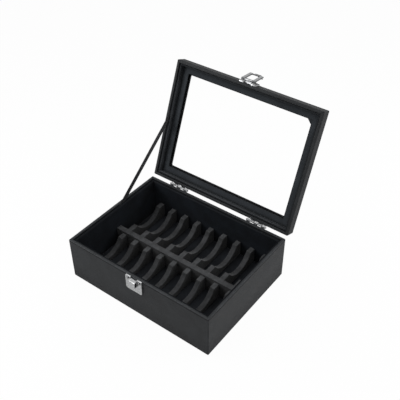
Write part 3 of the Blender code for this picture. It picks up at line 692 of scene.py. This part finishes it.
def felt_finish(name, colour):
    """Pressed fibres that lie every way."""
    paint = Paint(name)
    place = paint.place()
    lie = paint.noise(paint.stretched(place, (1.0, 0.2, 1.0)), FELT_FIBRE, 4.0, 0.7)
    cross = paint.noise(paint.stretched(place, (0.2, 1.0, 1.0)), FELT_FIBRE, 4.0, 0.7)
    fibres = lie.most(cross)
    shade = paint.mix(fibres.ramp(0.45, 0.8), colour, toned(colour, 2.2))
    normal = paint.bump(fibres, FELT_RELIEF)
    return paint.cloth(shade, 0.9 + fibres * 0.1, normal, sheen=0.3, sheen_roughness=0.5, gloss=0.2)


def board_finish(name):
    """Grey-brown fibreboard, with pressed fibres and soft blots."""
    paint = Paint(name)
    place = paint.place()
    fibres = paint.noise(paint.stretched(place, (0.3, 0.3, 1.6)), BOARD_FIBRE, 4.0, 0.7)
    blots = paint.noise(place, BOARD_BLOT, 2.0)
    shade = paint.mix(fibres.ramp(0.3, 0.75), *BOARD_COLOURS)
    colour = paint.mix(blots * 0.4, shade, BLOT_COLOUR)
    normal = paint.bump(fibres, BOARD_RELIEF)
    values = {"Base Color": colour, "Roughness": 0.8 + blots * 0.15, "Normal": normal}
    return paint.done(paint.shader(values))


def chrome_finish(name, looks, colour, painted_shade_and_reflection=(), closing=()):
    """Plating with fine pits, smears and the ripple of pressed sheet.

    Each part of painted shade and dark reflection is a direction, the corners of a box in the closed case,
    and a share of the side colour, which is painted on what turns away from the direction inside the box.
    Either of the two may be None.
    """
    paint = Paint(name)
    place = paint.place()
    ripple = paint.noise(place, RIPPLE, 2.0)
    smear = paint.noise(place, SMEAR, 3.0)
    pits = paint.noise(place, PIT, 3.0, 0.7)
    scratch = paint.noise(paint.stretched(place, (0.12, 1.0, 1.0)), SCRATCH, 2.0, 0.6)
    tone = paint.mix(smear.ramp(0.35, 0.75), toned(colour, 1.15), toned(colour, 0.7))
    tone = paint.mix(pits.ramp(0.45, 0.75), tone, toned(colour, 0.45))
    facing = paint.node("ShaderNodeTexCoord", output="Normal")
    parts = paint.split(paint.place(*closing))
    # Painted shade and dark reflection, part by part
    for way, box, level in painted_shade_and_reflection:
        inside = []
        if way is not None:
            values = {0: facing, 1: way}
            turned = paint.node("ShaderNodeVectorMath", {"operation": "DOT_PRODUCT"}, values, "Value")
            inside.append(abs(turned).fade(0.80, 0.97))
        for part, low, high in zip(parts, *(box or ((), ()))):
            inside += [part > low, part < high]
        tone = paint.mix(math.prod(inside), tone, toned(looks.side, level))
    rough = looks.roughness + smear * 0.12 + scratch.ramp(0.55, 0.7) * 0.08
    pitted = paint.bump(pits, PIT_RELIEF, paint.bump(ripple, RIPPLE_RELIEF))
    bump = paint.bump(scratch, SCRATCH_RELIEF, pitted)
    return paint.done(paint.shader({"Base Color": tone, "Roughness": rough, "Metallic": 1.0, "Normal": bump}))


def ribbon_finish(name, colour, rib, width):
    """Ribbed weave across the ribbon, with a smooth selvedge along each side."""
    paint = Paint(name)
    across, along, _ = paint.split(paint.node("ShaderNodeUVMap", {"uv_map": "UVMap"}, output="UV"))
    ribs = abs(paint.wave(along * (math.pi / rib)))
    threads = abs(paint.wave(across * (math.pi / rib * 1.7)))
    edge = abs(across).ramp(width * 0.41, width * 0.45)
    weave = (ribs * 0.75 + threads * 0.25) * (1 - edge) + edge * 0.9
    tone = paint.mix(weave, toned(colour, 0.5), toned(colour, 2.0))
    normal = paint.bump(weave, WEAVE_RELIEF)
    return paint.cloth(tone, 0.62 - weave * 0.15, normal, sheen=0.1, sheen_roughness=0.5, gloss=0.2)


def glass_finish(name):
    """Clear glass: it lets all light through, and its outer faces shine where they are seen at a slant."""
    paint = Paint(name)
    smears = paint.noise(paint.stretched(paint.place(), (1.0, 0.5, 1.0)), GLASS_SMEAR, 4.0, 0.6)
    clear = paint.node("ShaderNodeBsdfTransparent", None, {"Color": WHITE})
    shine = {"Color": WHITE, "Roughness": smears.ramp(0.5, 0.8, 0.02, 0.09)}
    gloss = paint.node("ShaderNodeBsdfGlossy", None, shine)
    outer = 1 - paint.node("ShaderNodeNewGeometry", output="Backfacing")
    share = paint.node("ShaderNodeFresnel", None, {"IOR": GLASS_INDEX}).ramp(0.12, 0.3, 0.0, 0.15) * outer
    return paint.done(paint.node("ShaderNodeMixShader", None, {0: share, 1: clear, 2: gloss}))


def floor_finish(name, colour, backdrop):
    """A pale floor that the camera, and any gloss or glass, sees nearly white, with the shadow kept."""
    paint = Paint(name)
    lit = paint.node("ShaderNodeBsdfDiffuse", None, {"Color": (*colour, 1.0)})
    white = paint.node("ShaderNodeEmission", None, {"Color": WHITE, "Strength": 1.0})
    return paint.done(paint.node("ShaderNodeMixShader", None, {0: paint.seen() * backdrop, 1: lit, 2: white}))


# Operators

# How far a cut runs past a plate, and how far a longer one reaches to each side
OVERRUN, CUT_REACH = 0.001, 0.01

# Soft tray: how the pad is rounded and meshed, and how unevenly a divider stands, in degrees and metres
PAD_ROUND, PAD_VOXEL = 0.0008, 0.0015
LEAN, TWIST, STRAY = 0.7, 0.25, 0.0002

# Ribbon: the selvedge and the cloth as shares of the ribbon's width and thickness
SELVEDGE_SHARE, SELVEDGE_RISE_SHARE, CLOTH_SHARE = 0.36, 0.12, 0.7

# Rounding of the latch plates at the notch, the ears, the far corners and the outer edge, and of fine parts
NOTCH_ROUND, EAR_ROUND, FAR_ROUND, PLATE_ROUND = 0.0013, 0.0012, 0.0028, 0.00025
FINE_ROUND = 0.0002

# The hasp's pin, the bore for every pin, and a hair's breadth that keeps faces or tells them apart
PIN_RADIUS, BORE_RADIUS, HAIR = 0.0006, 0.0008, 0.0001

# Bridge of the catch: the rounding, the rim and the dish of its face, and how much of its wall is kept out of
# the painted shade in its hollow
BRIDGE_ROUND, BRIDGE_RIM, BRIDGE_DISH, UNSHADED_WALL_SHARE = 0.0011, 0.0009, 0.0002, 0.8

# Ring: its gap beside the barrel, its reach and rounding, how its bar and the hasp's strap are set in, and
# its tab, which is spun by an angle in degrees and has painted shade at its root
RING_GAP, RING_REACH, RING_ROUND_SHARE, EYE_ROUND = 0.0003, 0.0169, 0.3, 0.0003
BAR_INSET, BAR_SINK = 0.0005, 0.00004
STRAP_INSET, STRAP_SINK = 0.0002, 0.0008
TAB_RISE, TAB_ANGLE, TAB_TIP_SHARE, TAB_TIP_REACH_SHARE, TAB_TIP_HEIGHT = 0.0008, 72, 0.72, 1.2, 0.0008
ROOT_SHADE_SIDE, ROOT_SHADE_DEPTH, ROOT_SHADE_LOW, ROOT_SHADE_HIGH = 0.0002, 0.02, 0.0065, 0.0006

# Screws: how far the head stands out, sinks in and is domed, its crossed recess, its shank, half the distance
# between two of them on the latch, and the angles in degrees to which they were driven
HEAD_HEIGHT, HEAD_SINK, HEAD_DOME, HEAD_RIM_SHARE = 0.00035, 0.0006, 0.00018, 0.35
RECESS_HALF, RECESS_REACH, RECESS_FLOOR = 0.00019, 0.0008, 0.00018
SHANK_RADIUS, SHANK_START, SHANK_END = 0.0006, 0.0003, 0.0034
SCREW_OUT, SCREW_TURN, SCREW_TURN_STEP = 0.0079, 20, 35

# Hinges: the leaf's gaps, play and round corners, the knuckles and the necks behind them, its screws, and the
# painted dark reflection on the knuckles: its margin and reach, and the direction of the lit band that it
# leaves
LEAF_GAP, KNUCKLE_GAP, END_PLAY, LEAF_ROUND = 0.0002, 0.0003, 0.0009, 0.0012
BETWEEN_KNUCKLES, KNUCKLE_ROUND, NECK_REACH, LEAF_SCREW_OUT = 0.00015, 0.00015, 0.0006, 0.0075
KNUCKLES, DARK_REFLECTION_MARGIN, DARK_REFLECTION_REACH, LIT_BAND_WAY = 5, 0.0002, 0.2, (0.2, -0.35, 0.9)
HINGE_BORE_REACH = 0.02

# Stage: how white the floor is seen, the size and place of each lamp, and what they are aimed at
FLOOR_WHITE = 0.965
LAMPS = {
    "key": (0.3, (-0.42, -0.38, 0.34)),
    "fill": (0.4, (0.50, 0.40, 0.36)),
    "top": (0.8, (-0.10, -0.05, 1.10)),
}
AIM = Vector((0, 0.02, 0.08))


class BANGLEBOX_OT_boards(bpy.types.Operator):
    """Finish the hidden boards, the velvet linings, the mat, the glass and the felt"""

    bl_idname = "bangle_box.boards"
    bl_label = "Boards, Linings and Glass"

    def execute(self, context):
        tray, cloth = context.scene.bangle_box_tray, context.scene.bangle_box_cloth
        boards = [f"{part}_{wall}_board" for part in ("base", "lid") for wall in WALLS]
        dress([*boards, "base_bottom_board", "lid_top_frame", "glass_spacer"], board_finish("Fibreboard"))
        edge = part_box("base_lining_left_board")[1].z
        velvet = velvet_finish("Black velvet", tray.velvet, edge, rubbed_and_lit=0.3)
        dress([f"base_lining_{wall}_board" for wall in WALLS], velvet)
        edge = closed_box("lid_lining_left_board")[0].z
        # A lighter copy of the case's velvet: painted light
        velvet = velvet_finish("Lid velvet", tray.lid_velvet, edge, 0.8, *CLOSING)
        dress([f"lid_lining_{wall}_board" for wall in WALLS], velvet)
        # The mat is a lighter copy of the velvet: painted light
        dress(["window_mat"], mat_finish("Velvet mat", tray.mat))
        dress(["bottom_felt"], felt_finish("Black felt", cloth.felt))
        dress(["glass_pane"], glass_finish("Clear glass"))
        return {"FINISHED"}


class BANGLEBOX_OT_leather(bpy.types.Operator):
    """Finish the leather that wraps the case and the lid and turns over their rims"""

    bl_idname = "bangle_box.leather"
    bl_label = "Leather"

    def execute(self, context):
        looks = context.scene.bangle_box_leather
        low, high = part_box("base_leather_wrap")
        dress(["base_leather_wrap"], leather_finish("Black leather", looks, high.z, low.z, 1.0))
        low, high = closed_box("lid_leather_wrap")
        dress(["lid_leather_wrap"], leather_finish("Lid leather", looks, low.z, high.z, 0.3, *CLOSING))
        return {"FINISHED"}


class BANGLEBOX_OT_tray(bpy.types.Operator):
    """Form the padded floor, the rail and the scooped foam dividers"""

    bl_idname = "bangle_box.tray"
    bl_label = "Soft Tray"

    def execute(self, context):
        looks = context.scene.bangle_box_tray
        velvet = velvet_finish("Padded velvet", looks.pad)
        pad = block("padded_floor", *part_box("floor_pad"))
        round_edges(pad, PAD_ROUND)
        modify(pad, "REMESH", mode="VOXEL", voxel_size=PAD_VOXEL)
        modify(pad, "SMOOTH", factor=0.5, iterations=3)
        deliver(pad, "base", velvet, ["floor_pad"], angle=80)

        low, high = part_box("center_rail")
        foam = foam_finish("Grey flocked foam", looks.foam, low.z, high.z)
        rail = block("foam_rail", low, high)
        round_edges(rail, looks.soft_edge)
        self.deliver_foam(rail, "center_rail", foam)

        dice = random.Random(7)
        for row in ("front", "rear"):
            self.dividers(looks, row, foam, dice)
        return {"FINISHED"}

    def deliver_foam(self, piece, node, foam):
        deliver(piece, "base", foam, [node], angle=50, even=True)

    def dividers(self, looks, row, foam, dice):
        """A row of dividers: copies of one scooped strip, each of which stands a little unevenly."""
        names = sorted(name for name in NODES if name.startswith(f"{row}_divider_"))
        low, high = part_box(names[0])
        strip = block(f"{row}_strip", low, high)
        level = high.z - looks.scoop_depth + looks.scoop_radius
        y = (low.y + high.y) / 2 + looks.scoop_shift
        ends = [(x, y, level) for x in (low.x - CUT_REACH, high.x + CUT_REACH)]
        combine(strip, rod("scoop", looks.scoop_radius, *ends, sides=160))
        round_edges(strip, looks.soft_edge)
        centre = Vector(((low.x + high.x) / 2, (low.y + high.y) / 2, low.z))
        for name in names:
            new_low, new_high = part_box(name)
            lean, twist = (math.radians(dice.uniform(-most, most)) for most in (LEAN, TWIST))
            there = Vector(((new_low.x + new_high.x) / 2 + dice.uniform(-STRAY, STRAY), centre.y, centre.z))
            turn = Euler((0, lean, twist)).to_matrix().to_4x4()
            place = Matrix.Translation(there) @ turn @ Matrix.Translation(-centre)
            self.deliver_foam(copy_to(strip, f"foam_{name}", place), name, foam)
        bpy.data.objects.remove(strip, do_unlink=True)


class BANGLEBOX_OT_ribbon(bpy.types.Operator):
    """Weave the stay ribbon that stops the lid"""

    bl_idname = "bangle_box.ribbon"
    bl_label = "Stay Ribbon"

    def execute(self, context):
        looks = context.scene.bangle_box_cloth
        low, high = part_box("stay_ribbon")
        corners = sorted((v.co.copy() for v in NODES["stay_ribbon"].data.vertices), key=lambda c: c.z)
        lowest, highest = corners[0], corners[-1]
        front = min(corners, key=lambda c: c.y)
        back = max(corners, key=lambda c: c.y)
        low_end, high_end = (lowest + front) / 2, (highest + back) / 2
        low_end.x = high_end.x = (low.x + high.x) / 2
        along = (high_end - low_end).normalized()
        across = along.cross(Vector((1, 0, 0)))
        width = abs((lowest - front).dot(across))
        thickness, length = high.x - low.x, (high_end - low_end).length
        weave = {"x_subdivisions": 10, "y_subdivisions": 160, "calc_uvs": True}
        ribbon = start("grid", "woven_ribbon", (width, length, 1), size=1, **weave)
        for loop in ribbon.data.uv_layers["UVMap"].data:
            loop.uv = ((loop.uv.x - 0.5) * width, loop.uv.y * length)
        with editing(ribbon, "VERT"):
            choose(ribbon, "verts", lambda v: abs(v.co.x) > width * SELVEDGE_SHARE)
            bpy.ops.transform.translate(value=(0, 0, thickness * SELVEDGE_RISE_SHARE))
        modify(ribbon, "SOLIDIFY", thickness=thickness * CLOTH_SHARE, offset=0)
        turn = Matrix((across, along, across.cross(along))).transposed().to_4x4()
        ribbon.matrix_world = Matrix.Translation((low_end + high_end) / 2) @ turn
        finish = ribbon_finish("Ribbed ribbon", looks.ribbon, looks.rib, width)
        deliver(ribbon, None, finish, ["stay_ribbon"])
        tail = 0.012
        low_end + along * tail
        high_end - along * tail
        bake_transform(ribbon)
        return {"FINISHED"}


def eared_plate(name, looks, half, back, ears, far):
    """A latch plate: two ears with a notch between them, round far corners and a border round a dish."""
    way = math.copysign(1, far - ears)
    face = back - looks.plate
    plate = block(name, (-half, face, min(ears, far)), (half, back, max(ears, far)))
    sill, beyond = ears + way * looks.notch_depth, ears - way * OVERRUN
    side = looks.notch_width / 2
    notch_low = (-side, face - OVERRUN, min(sill, beyond))
    notch = block("notch", notch_low, (side, back + OVERRUN, max(sill, beyond)))
    bevel_where(notch, along_at(1, sill), NOTCH_ROUND, 5)
    combine(plate, notch)
    bevel_where(plate, along_at(1, far), FAR_ROUND, 6)
    bevel_where(plate, along_at(1, ears), EAR_ROUND, 4)
    bevel_where(plate, lambda e: all(v.co.y < face + NEAR for v in e.verts), PLATE_ROUND, 2)
    press(plate, looks.border - PLATE_ROUND, -looks.dish)
    return plate


def crossed_screw(looks):
    """A domed screw with a crossed recess. Its head looks towards -Y, and its seat is at the origin."""
    head = rod("screw", looks.screw, (0, HEAD_SINK, 0), (0, -HEAD_HEIGHT, 0), sides=24)
    press(head, looks.screw * HEAD_RIM_SHARE, HEAD_DOME)
    for x, z in ((RECESS_HALF, RECESS_REACH), (RECESS_REACH, RECESS_HALF)):
        combine(head, block("recess", (-x, -OVERRUN, -z), (x, -RECESS_FLOOR, z)))
    combine(head, rod("shank", SHANK_RADIUS, (0, SHANK_START, 0), (0, SHANK_END, 0), sides=12), "UNION")
    return head


class BANGLEBOX_OT_latch(bpy.types.Operator):
    """Press the catch and the hasp, bend the ring and its thumb tab, and set their screws"""

    bl_idname = "bangle_box.latch"
    bl_label = "Latch"

    def execute(self, context):
        looks = context.scene.bangle_box_metal
        chrome = chrome_finish("Chrome", looks, looks.hasp)
        self.catch(looks)
        pivot = self.hasp(looks, chrome)
        self.ring(looks, pivot)
        screw = crossed_screw(looks)
        for name in [name for name in NODES if "_screw_" in name]:
            on_lid = name.startswith("hasp")
            opened = LID_OPEN if on_lid else Matrix()
            low, high = closed_box(name, opened)
            seat = (low.x + high.x) / 2, low.y + HEAD_HEIGHT, (low.z + high.z) / 2
            driven = SCREW_TURN + SCREW_TURN_STEP * len(name) * seat[0] / SCREW_OUT
            turn = Matrix.Rotation(math.radians(driven), 4, "Y")
            piece = copy_to(screw, f"crossed_{name}", Matrix.Translation(seat) @ turn)
            deliver(piece, "lid" if on_lid else "base", chrome, [name], opened)
        bpy.data.objects.remove(screw, do_unlink=True)
        return {"FINISHED"}

    def catch(self, looks):
        """The catch, with the bridge that the ring goes over."""
        low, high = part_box("catch_plate")
        plate = eared_plate("pressed_catch", looks, high.x, high.y, high.z, low.z)
        face = high.y - looks.plate
        side, top = looks.boss_width / 2, looks.boss_low + looks.boss_height
        boss = block("boss", (-side, low.y, looks.boss_low), (side, high.y - looks.plate / 2, top))
        bevel_where(boss, lambda e: runs_along(e, 0) and middle_of(e).y < low.y + HAIR, BRIDGE_ROUND, 5)
        press(boss, BRIDGE_RIM, -BRIDGE_DISH)
        wall = looks.wall
        tunnel_low = (-CUT_REACH, low.y + wall, looks.boss_low + wall)
        combine(boss, block("tunnel", tunnel_low, (CUT_REACH, face - HAIR, top - wall)))
        # Painted shade inside the bridge's hollow, short of the edges of its wall
        edge = wall * UNSHADED_WALL_SHARE
        dark_low = (-side - HAIR, low.y + edge, looks.boss_low + edge)
        dark = dark_low, (side + HAIR, face + 2 * HAIR, top - edge)
        chrome = chrome_finish("Catch chrome", looks, looks.colour, [(None, dark, 1.0)])
        deliver(join([plate, boss], "pressed_catch"), "base", chrome, ["catch_plate"])

    def hasp(self, looks, chrome):
        """The hasp, whose strap rolls into the ring's barrel. Returns the y and z of the barrel's middle."""
        low, high = closed_box("hasp_plate")
        plate = eared_plate("pressed_hasp", looks, high.x, high.y, low.z, high.z)
        pin_low, pin_high = closed_box("hasp_pin")
        y, z = (pin_low.y + pin_high.y) / 2, (pin_low.z + pin_high.z) / 2
        side = looks.ring_half - looks.strip - RING_GAP
        barrel = rod("barrel", looks.ring_depth, (-side, y, z), (side, y, z), sides=40)
        round_edges(barrel, FINE_ROUND, 2, 60)
        top = z + looks.ring_depth
        strap_low = (-side + STRAP_INSET, y, top - looks.leaf)
        strap = block("strap", strap_low, (side - STRAP_INSET, high.y - STRAP_SINK, top - HAIR))
        combine(plate, strap, "UNION")
        combine(plate, barrel, "UNION")
        combine(plate, bore(-CUT_REACH, CUT_REACH, y, z))
        deliver(plate, "lid", chrome, ["hasp_plate"], LID_OPEN)
        pin = rod("domed_pin", PIN_RADIUS, (-looks.ring_half, y, z), (looks.ring_half, y, z), sides=20)
        round_edges(pin, FINE_ROUND, 2, 60)
        deliver(pin, "lid", chrome, ["hasp_pin"], LID_OPEN)
        return y, z

    def ring(self, looks, pivot):
        """The ring: two rounded strips that end in eyes, a far bar, and a thumb tab that curls out."""
        y, z = pivot
        deep, side, far = looks.ring_depth, looks.ring_half, z - RING_REACH
        strip = block("strip", (side - looks.strip + HAIR, y, far), (side - HAIR, y + deep, z))
        bevel_where(strip, lambda e: runs_along(e, 2), deep * RING_ROUND_SHARE, 3)
        eye = rod("eye", deep, (side - looks.strip, y, z), (side, y, z), sides=40)
        round_edges(eye, EYE_ROUND, 3, 60)
        combine(strip, eye, "UNION")
        other = copy_to(strip, "other_strip", Matrix.Translation((looks.strip - 2 * side, 0, 0)))
        bar_low = (-side + BAR_INSET, y + BAR_SINK, far + BAR_SINK)
        bar = block("bar", bar_low, (side - BAR_INSET, y + deep - BAR_SINK, far + deep))
        bevel_where(bar, lambda e: runs_along(e, 0), deep * RING_ROUND_SHARE, 3)
        combine(strip, other, "UNION")
        combine(strip, bar, "UNION")
        combine(strip, self.thumb_tab(looks, y + deep / 2, far + TAB_RISE), "UNION")
        combine(strip, bore(-CUT_REACH, CUT_REACH, y, z))
        strip.name = strip.data.name = "bent_ring"
        # Painted shade at the root of the thumb tab
        half = looks.thumb_width / 2 + ROOT_SHADE_SIDE
        root = (-half, y - ROOT_SHADE_DEPTH, far - ROOT_SHADE_LOW), (half, y + ROOT_SHADE_DEPTH, far + ROOT_SHADE_HIGH)
        back = RING_OPEN.inverted()
        closing = back.to_euler(), back.to_translation()
        # Painted dark reflection on the ring's sides, and the painted shade at the tab's root
        painted_shade_and_reflection = [(RING_OPEN.to_3x3() @ Vector((0, -1, 0)), None, 1.0), (None, root, 0.4)]
        chrome = chrome_finish("Ring chrome", looks, looks.ring, painted_shade_and_reflection, closing)
        deliver(strip, "latch_ring", chrome, ["latch_ring"], RING_OPEN)

    def thumb_tab(self, looks, y, z):
        """A tab that is spun down and out from the far bar, narrower towards its tip."""
        tab = start("plane", "thumb_tab", (looks.thumb_width, looks.leaf, 1), size=1, location=(0, y, z))
        with editing(tab):
            bpy.ops.mesh.select_all(action="SELECT")
            root = (0, y - looks.thumb_radius, z)
            bpy.ops.mesh.spin(steps=12, angle=math.radians(TAB_ANGLE), center=root, axis=(1, 0, 0))
        tip = min(tab.data.vertices, key=lambda v: v.co.z).co.copy()
        reach = looks.thumb_width * TAB_TIP_REACH_SHARE
        with editing(tab, "EDGE"):
            bpy.ops.mesh.select_all(action="SELECT")
            bpy.ops.mesh.normals_make_consistent(inside=False)
            choose(tab, "verts", lambda v: (v.co - tip).length < reach and v.co.z < tip.z + TAB_TIP_HEIGHT)
            bpy.ops.transform.resize(value=(TAB_TIP_SHARE, 1, 1))
        round_edges(tab, FINE_ROUND, 2, 40)
        return tab


class BANGLEBOX_OT_hinges(bpy.types.Operator):
    """Roll the hinge leaves with their knuckles, and set their screws and pins"""

    bl_idname = "bangle_box.hinges"
    bl_label = "Hinges"

    def execute(self, context):
        looks = context.scene.bangle_box_metal
        low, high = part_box("left_hinge_pin")
        y, z = (low.y + high.y) / 2, (low.z + high.z) / 2
        # Painted dark reflection on the knuckles, except a lit band that faces one way
        reach = looks.knuckle + DARK_REFLECTION_MARGIN
        knuckles = (-DARK_REFLECTION_REACH, y - reach, z - reach), (DARK_REFLECTION_REACH, y + reach, z + reach)
        painted_shade_and_reflection = [(Vector(LIT_BAND_WAY).normalized(), knuckles, 1.0)]
        steel = chrome_finish("Plated hinge", looks, looks.hinge, painted_shade_and_reflection)
        lid_steel = chrome_finish("Plated lid hinge", looks, looks.hinge, painted_shade_and_reflection, CLOSING)
        screw = crossed_screw(looks)
        for body, opened, finish in (("base", Matrix(), steel), ("lid", LID_OPEN, lid_steel)):
            name, right = (f"{side}_hinge_{body}_leaf" for side in ("left", "right"))
            leaf = self.leaf(name, looks, opened, screw)
            shift = closed_box(right, opened)[0].x - closed_box(name, opened)[0].x
            other = copy_to(leaf, f"rolled_{right}", Matrix.Translation((shift, 0, 0)))
            deliver(leaf, body, finish, [name], opened)
            deliver(other, body, finish, [right], opened)
        bpy.data.objects.remove(screw, do_unlink=True)
        dress(["left_hinge_pin", "right_hinge_pin"], steel)
        return {"FINISHED"}

    def leaf(self, name, looks, opened, screw):
        """A leaf with every other knuckle of the barrel and two screws in its middle."""
        low, high = closed_box(name, opened)
        pin_low, pin_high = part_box("left_hinge_pin")
        y, z = (pin_low.y + pin_high.y) / 2, (pin_low.z + pin_high.z) / 2
        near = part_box("base_leather_wrap")[1].y + LEAF_GAP
        face = near + looks.leaf
        way = 1 if "lid" in name else -1
        far, root = (high.z if way > 0 else low.z), z + way * (looks.knuckle + KNUCKLE_GAP)
        centre = (pin_low.x + pin_high.x) / 2
        half = (pin_high.x - pin_low.x) / 2 - END_PLAY
        plate_low, plate_high = (centre - half, near, min(root, far)), (centre + half, face, max(root, far))
        plate = block(f"rolled_{name}", plate_low, plate_high)
        bevel_where(plate, along_at(1, far), LEAF_ROUND, 4)
        round_edges(plate, FINE_ROUND, 2, 60)
        pitch = 2 * half / KNUCKLES
        for k in range(0 if way < 0 else 1, KNUCKLES, 2):
            spot = centre - half + pitch * k
            first, last = spot + BETWEEN_KNUCKLES, spot + pitch - BETWEEN_KNUCKLES
            knuckle = rod("knuckle", looks.knuckle, (first, y, z), (last, y, z), sides=32)
            round_edges(knuckle, KNUCKLE_ROUND, 2, 60)
            neck_low, neck_high = sorted((z, z + way * (looks.knuckle + NECK_REACH)))
            combine(plate, block("neck", (first, near, neck_low), (last, face, neck_high)), "UNION")
            combine(plate, knuckle, "UNION")
        combine(plate, bore(centre - HINGE_BORE_REACH, centre + HINGE_BORE_REACH, y, z))
        for head in [self.head(screw, centre, face, (root + far) / 2, k) for k in (-1, 1)]:
            with editing(head, "VERT"):
                choose(head, "verts", lambda v: v.co.y < near + HAIR)
                bpy.ops.mesh.delete(type="VERT")
                bpy.ops.mesh.select_all(action="SELECT")
                bpy.ops.mesh.select_non_manifold()
                bpy.ops.mesh.edge_face_add()
            combine(plate, head, "UNION")
        return plate

    def head(self, screw, centre, face, level, side):
        """A screw on one side of a leaf's middle, which looks towards +Y."""
        place = Matrix.Translation((centre + side * LEAF_SCREW_OUT, face, level))
        turn = Matrix.Rotation(math.pi, 4, "Z") @ Matrix.Rotation(0.5 + side * 0.4, 4, "Y")
        return copy_to(screw, "head", place @ turn)


class BANGLEBOX_OT_stage(bpy.types.Operator):
    """Set the floor, the lamps, the sky and the camera"""

    bl_idname = "bangle_box.stage"
    bl_label = "Stage"

    def execute(self, context):
        looks = context.scene.bangle_box_stage
        floor = start("plane", "floor", size=8)
        floor.data.materials.append(floor_finish("Floor", looks.floor, FLOOR_WHITE))

        world = bpy.data.worlds.new("Studio")
        context.scene.world = world
        paint = Paint("Studio", world)
        sky = paint.node("ShaderNodeBackground", None, {"Color": WHITE, "Strength": looks.sky})
        white = paint.node("ShaderNodeBackground", None, {"Color": WHITE, "Strength": 1.0})
        shown = paint.node("ShaderNodeMixShader", None, {0: paint.seen(), 1: sky, 2: white})
        paint.node("ShaderNodeOutputWorld", None, {"Surface": shown})

        for name, (size, place) in LAMPS.items():
            lamp = bpy.data.lights.new(name, "AREA")
            lamp.energy, lamp.size = getattr(looks, name), size
            lamp_object = bpy.data.objects.new(name, lamp)
            context.scene.collection.objects.link(lamp_object)
            lamp_object.location = place
            lamp_object.rotation_euler = (AIM - Vector(place)).to_track_quat("-Z", "Y").to_euler()

        # The camera as it was fitted to the photograph
        lens = bpy.data.cameras.new("camera")
        lens.sensor_width, lens.lens = 36.0, 59.732
        camera = bpy.data.objects.new("camera", lens)
        context.scene.collection.objects.link(camera)
        camera.location = (0.358027, -0.431137, 0.581586)
        camera.rotation_euler = [math.radians(angle) for angle in (50.31339, 0.17242, 36.85169)]
        context.scene.camera = camera
        context.scene.view_settings.view_transform = "Standard"
        return {"FINISHED"}


class BANGLEBOX_PT_panel(bpy.types.Panel):
    """The box's pieces, in the order in which they are made"""

    bl_idname = "BANGLEBOX_PT_panel"
    bl_label = "Bangle Box"
    bl_space_type = "VIEW_3D"
    bl_region_type = "UI"
    bl_category = "Bangle Box"

    def draw(self, context):
        for operator in OPERATORS:
            self.layout.operator(operator.bl_idname)
        for name in GROUPS:
            group = getattr(context.scene, name)
            box = self.layout.box()
            for setting in group.__annotations__:
                box.prop(group, setting)


OPERATORS = (
    BANGLEBOX_OT_boards,
    BANGLEBOX_OT_leather,
    BANGLEBOX_OT_tray,
    BANGLEBOX_OT_ribbon,
    BANGLEBOX_OT_latch,
    BANGLEBOX_OT_hinges,
    BANGLEBOX_OT_stage,
)
GROUPS = {
    "bangle_box_leather": BangleBoxLeather,
    "bangle_box_tray": BangleBoxTray,
    "bangle_box_metal": BangleBoxMetal,
    "bangle_box_cloth": BangleBoxCloth,
    "bangle_box_stage": BangleBoxStage,
}


def register():
    for made in (*GROUPS.values(), *OPERATORS, BANGLEBOX_PT_panel):
        bpy.utils.register_class(made)
    for name, group in GROUPS.items():
        setattr(bpy.types.Scene, name, bpy.props.PointerProperty(type=group))


def unregister():
    for name in GROUPS:
        delattr(bpy.types.Scene, name)
    for made in (BANGLEBOX_PT_panel, *reversed(OPERATORS), *reversed(GROUPS.values())):
        bpy.utils.unregister_class(made)


def main():
    register()
    for operator in OPERATORS:
        group, name = operator.bl_idname.split(".")
        getattr(getattr(bpy.ops, group), name)()


if __name__ == "__main__":
    main()
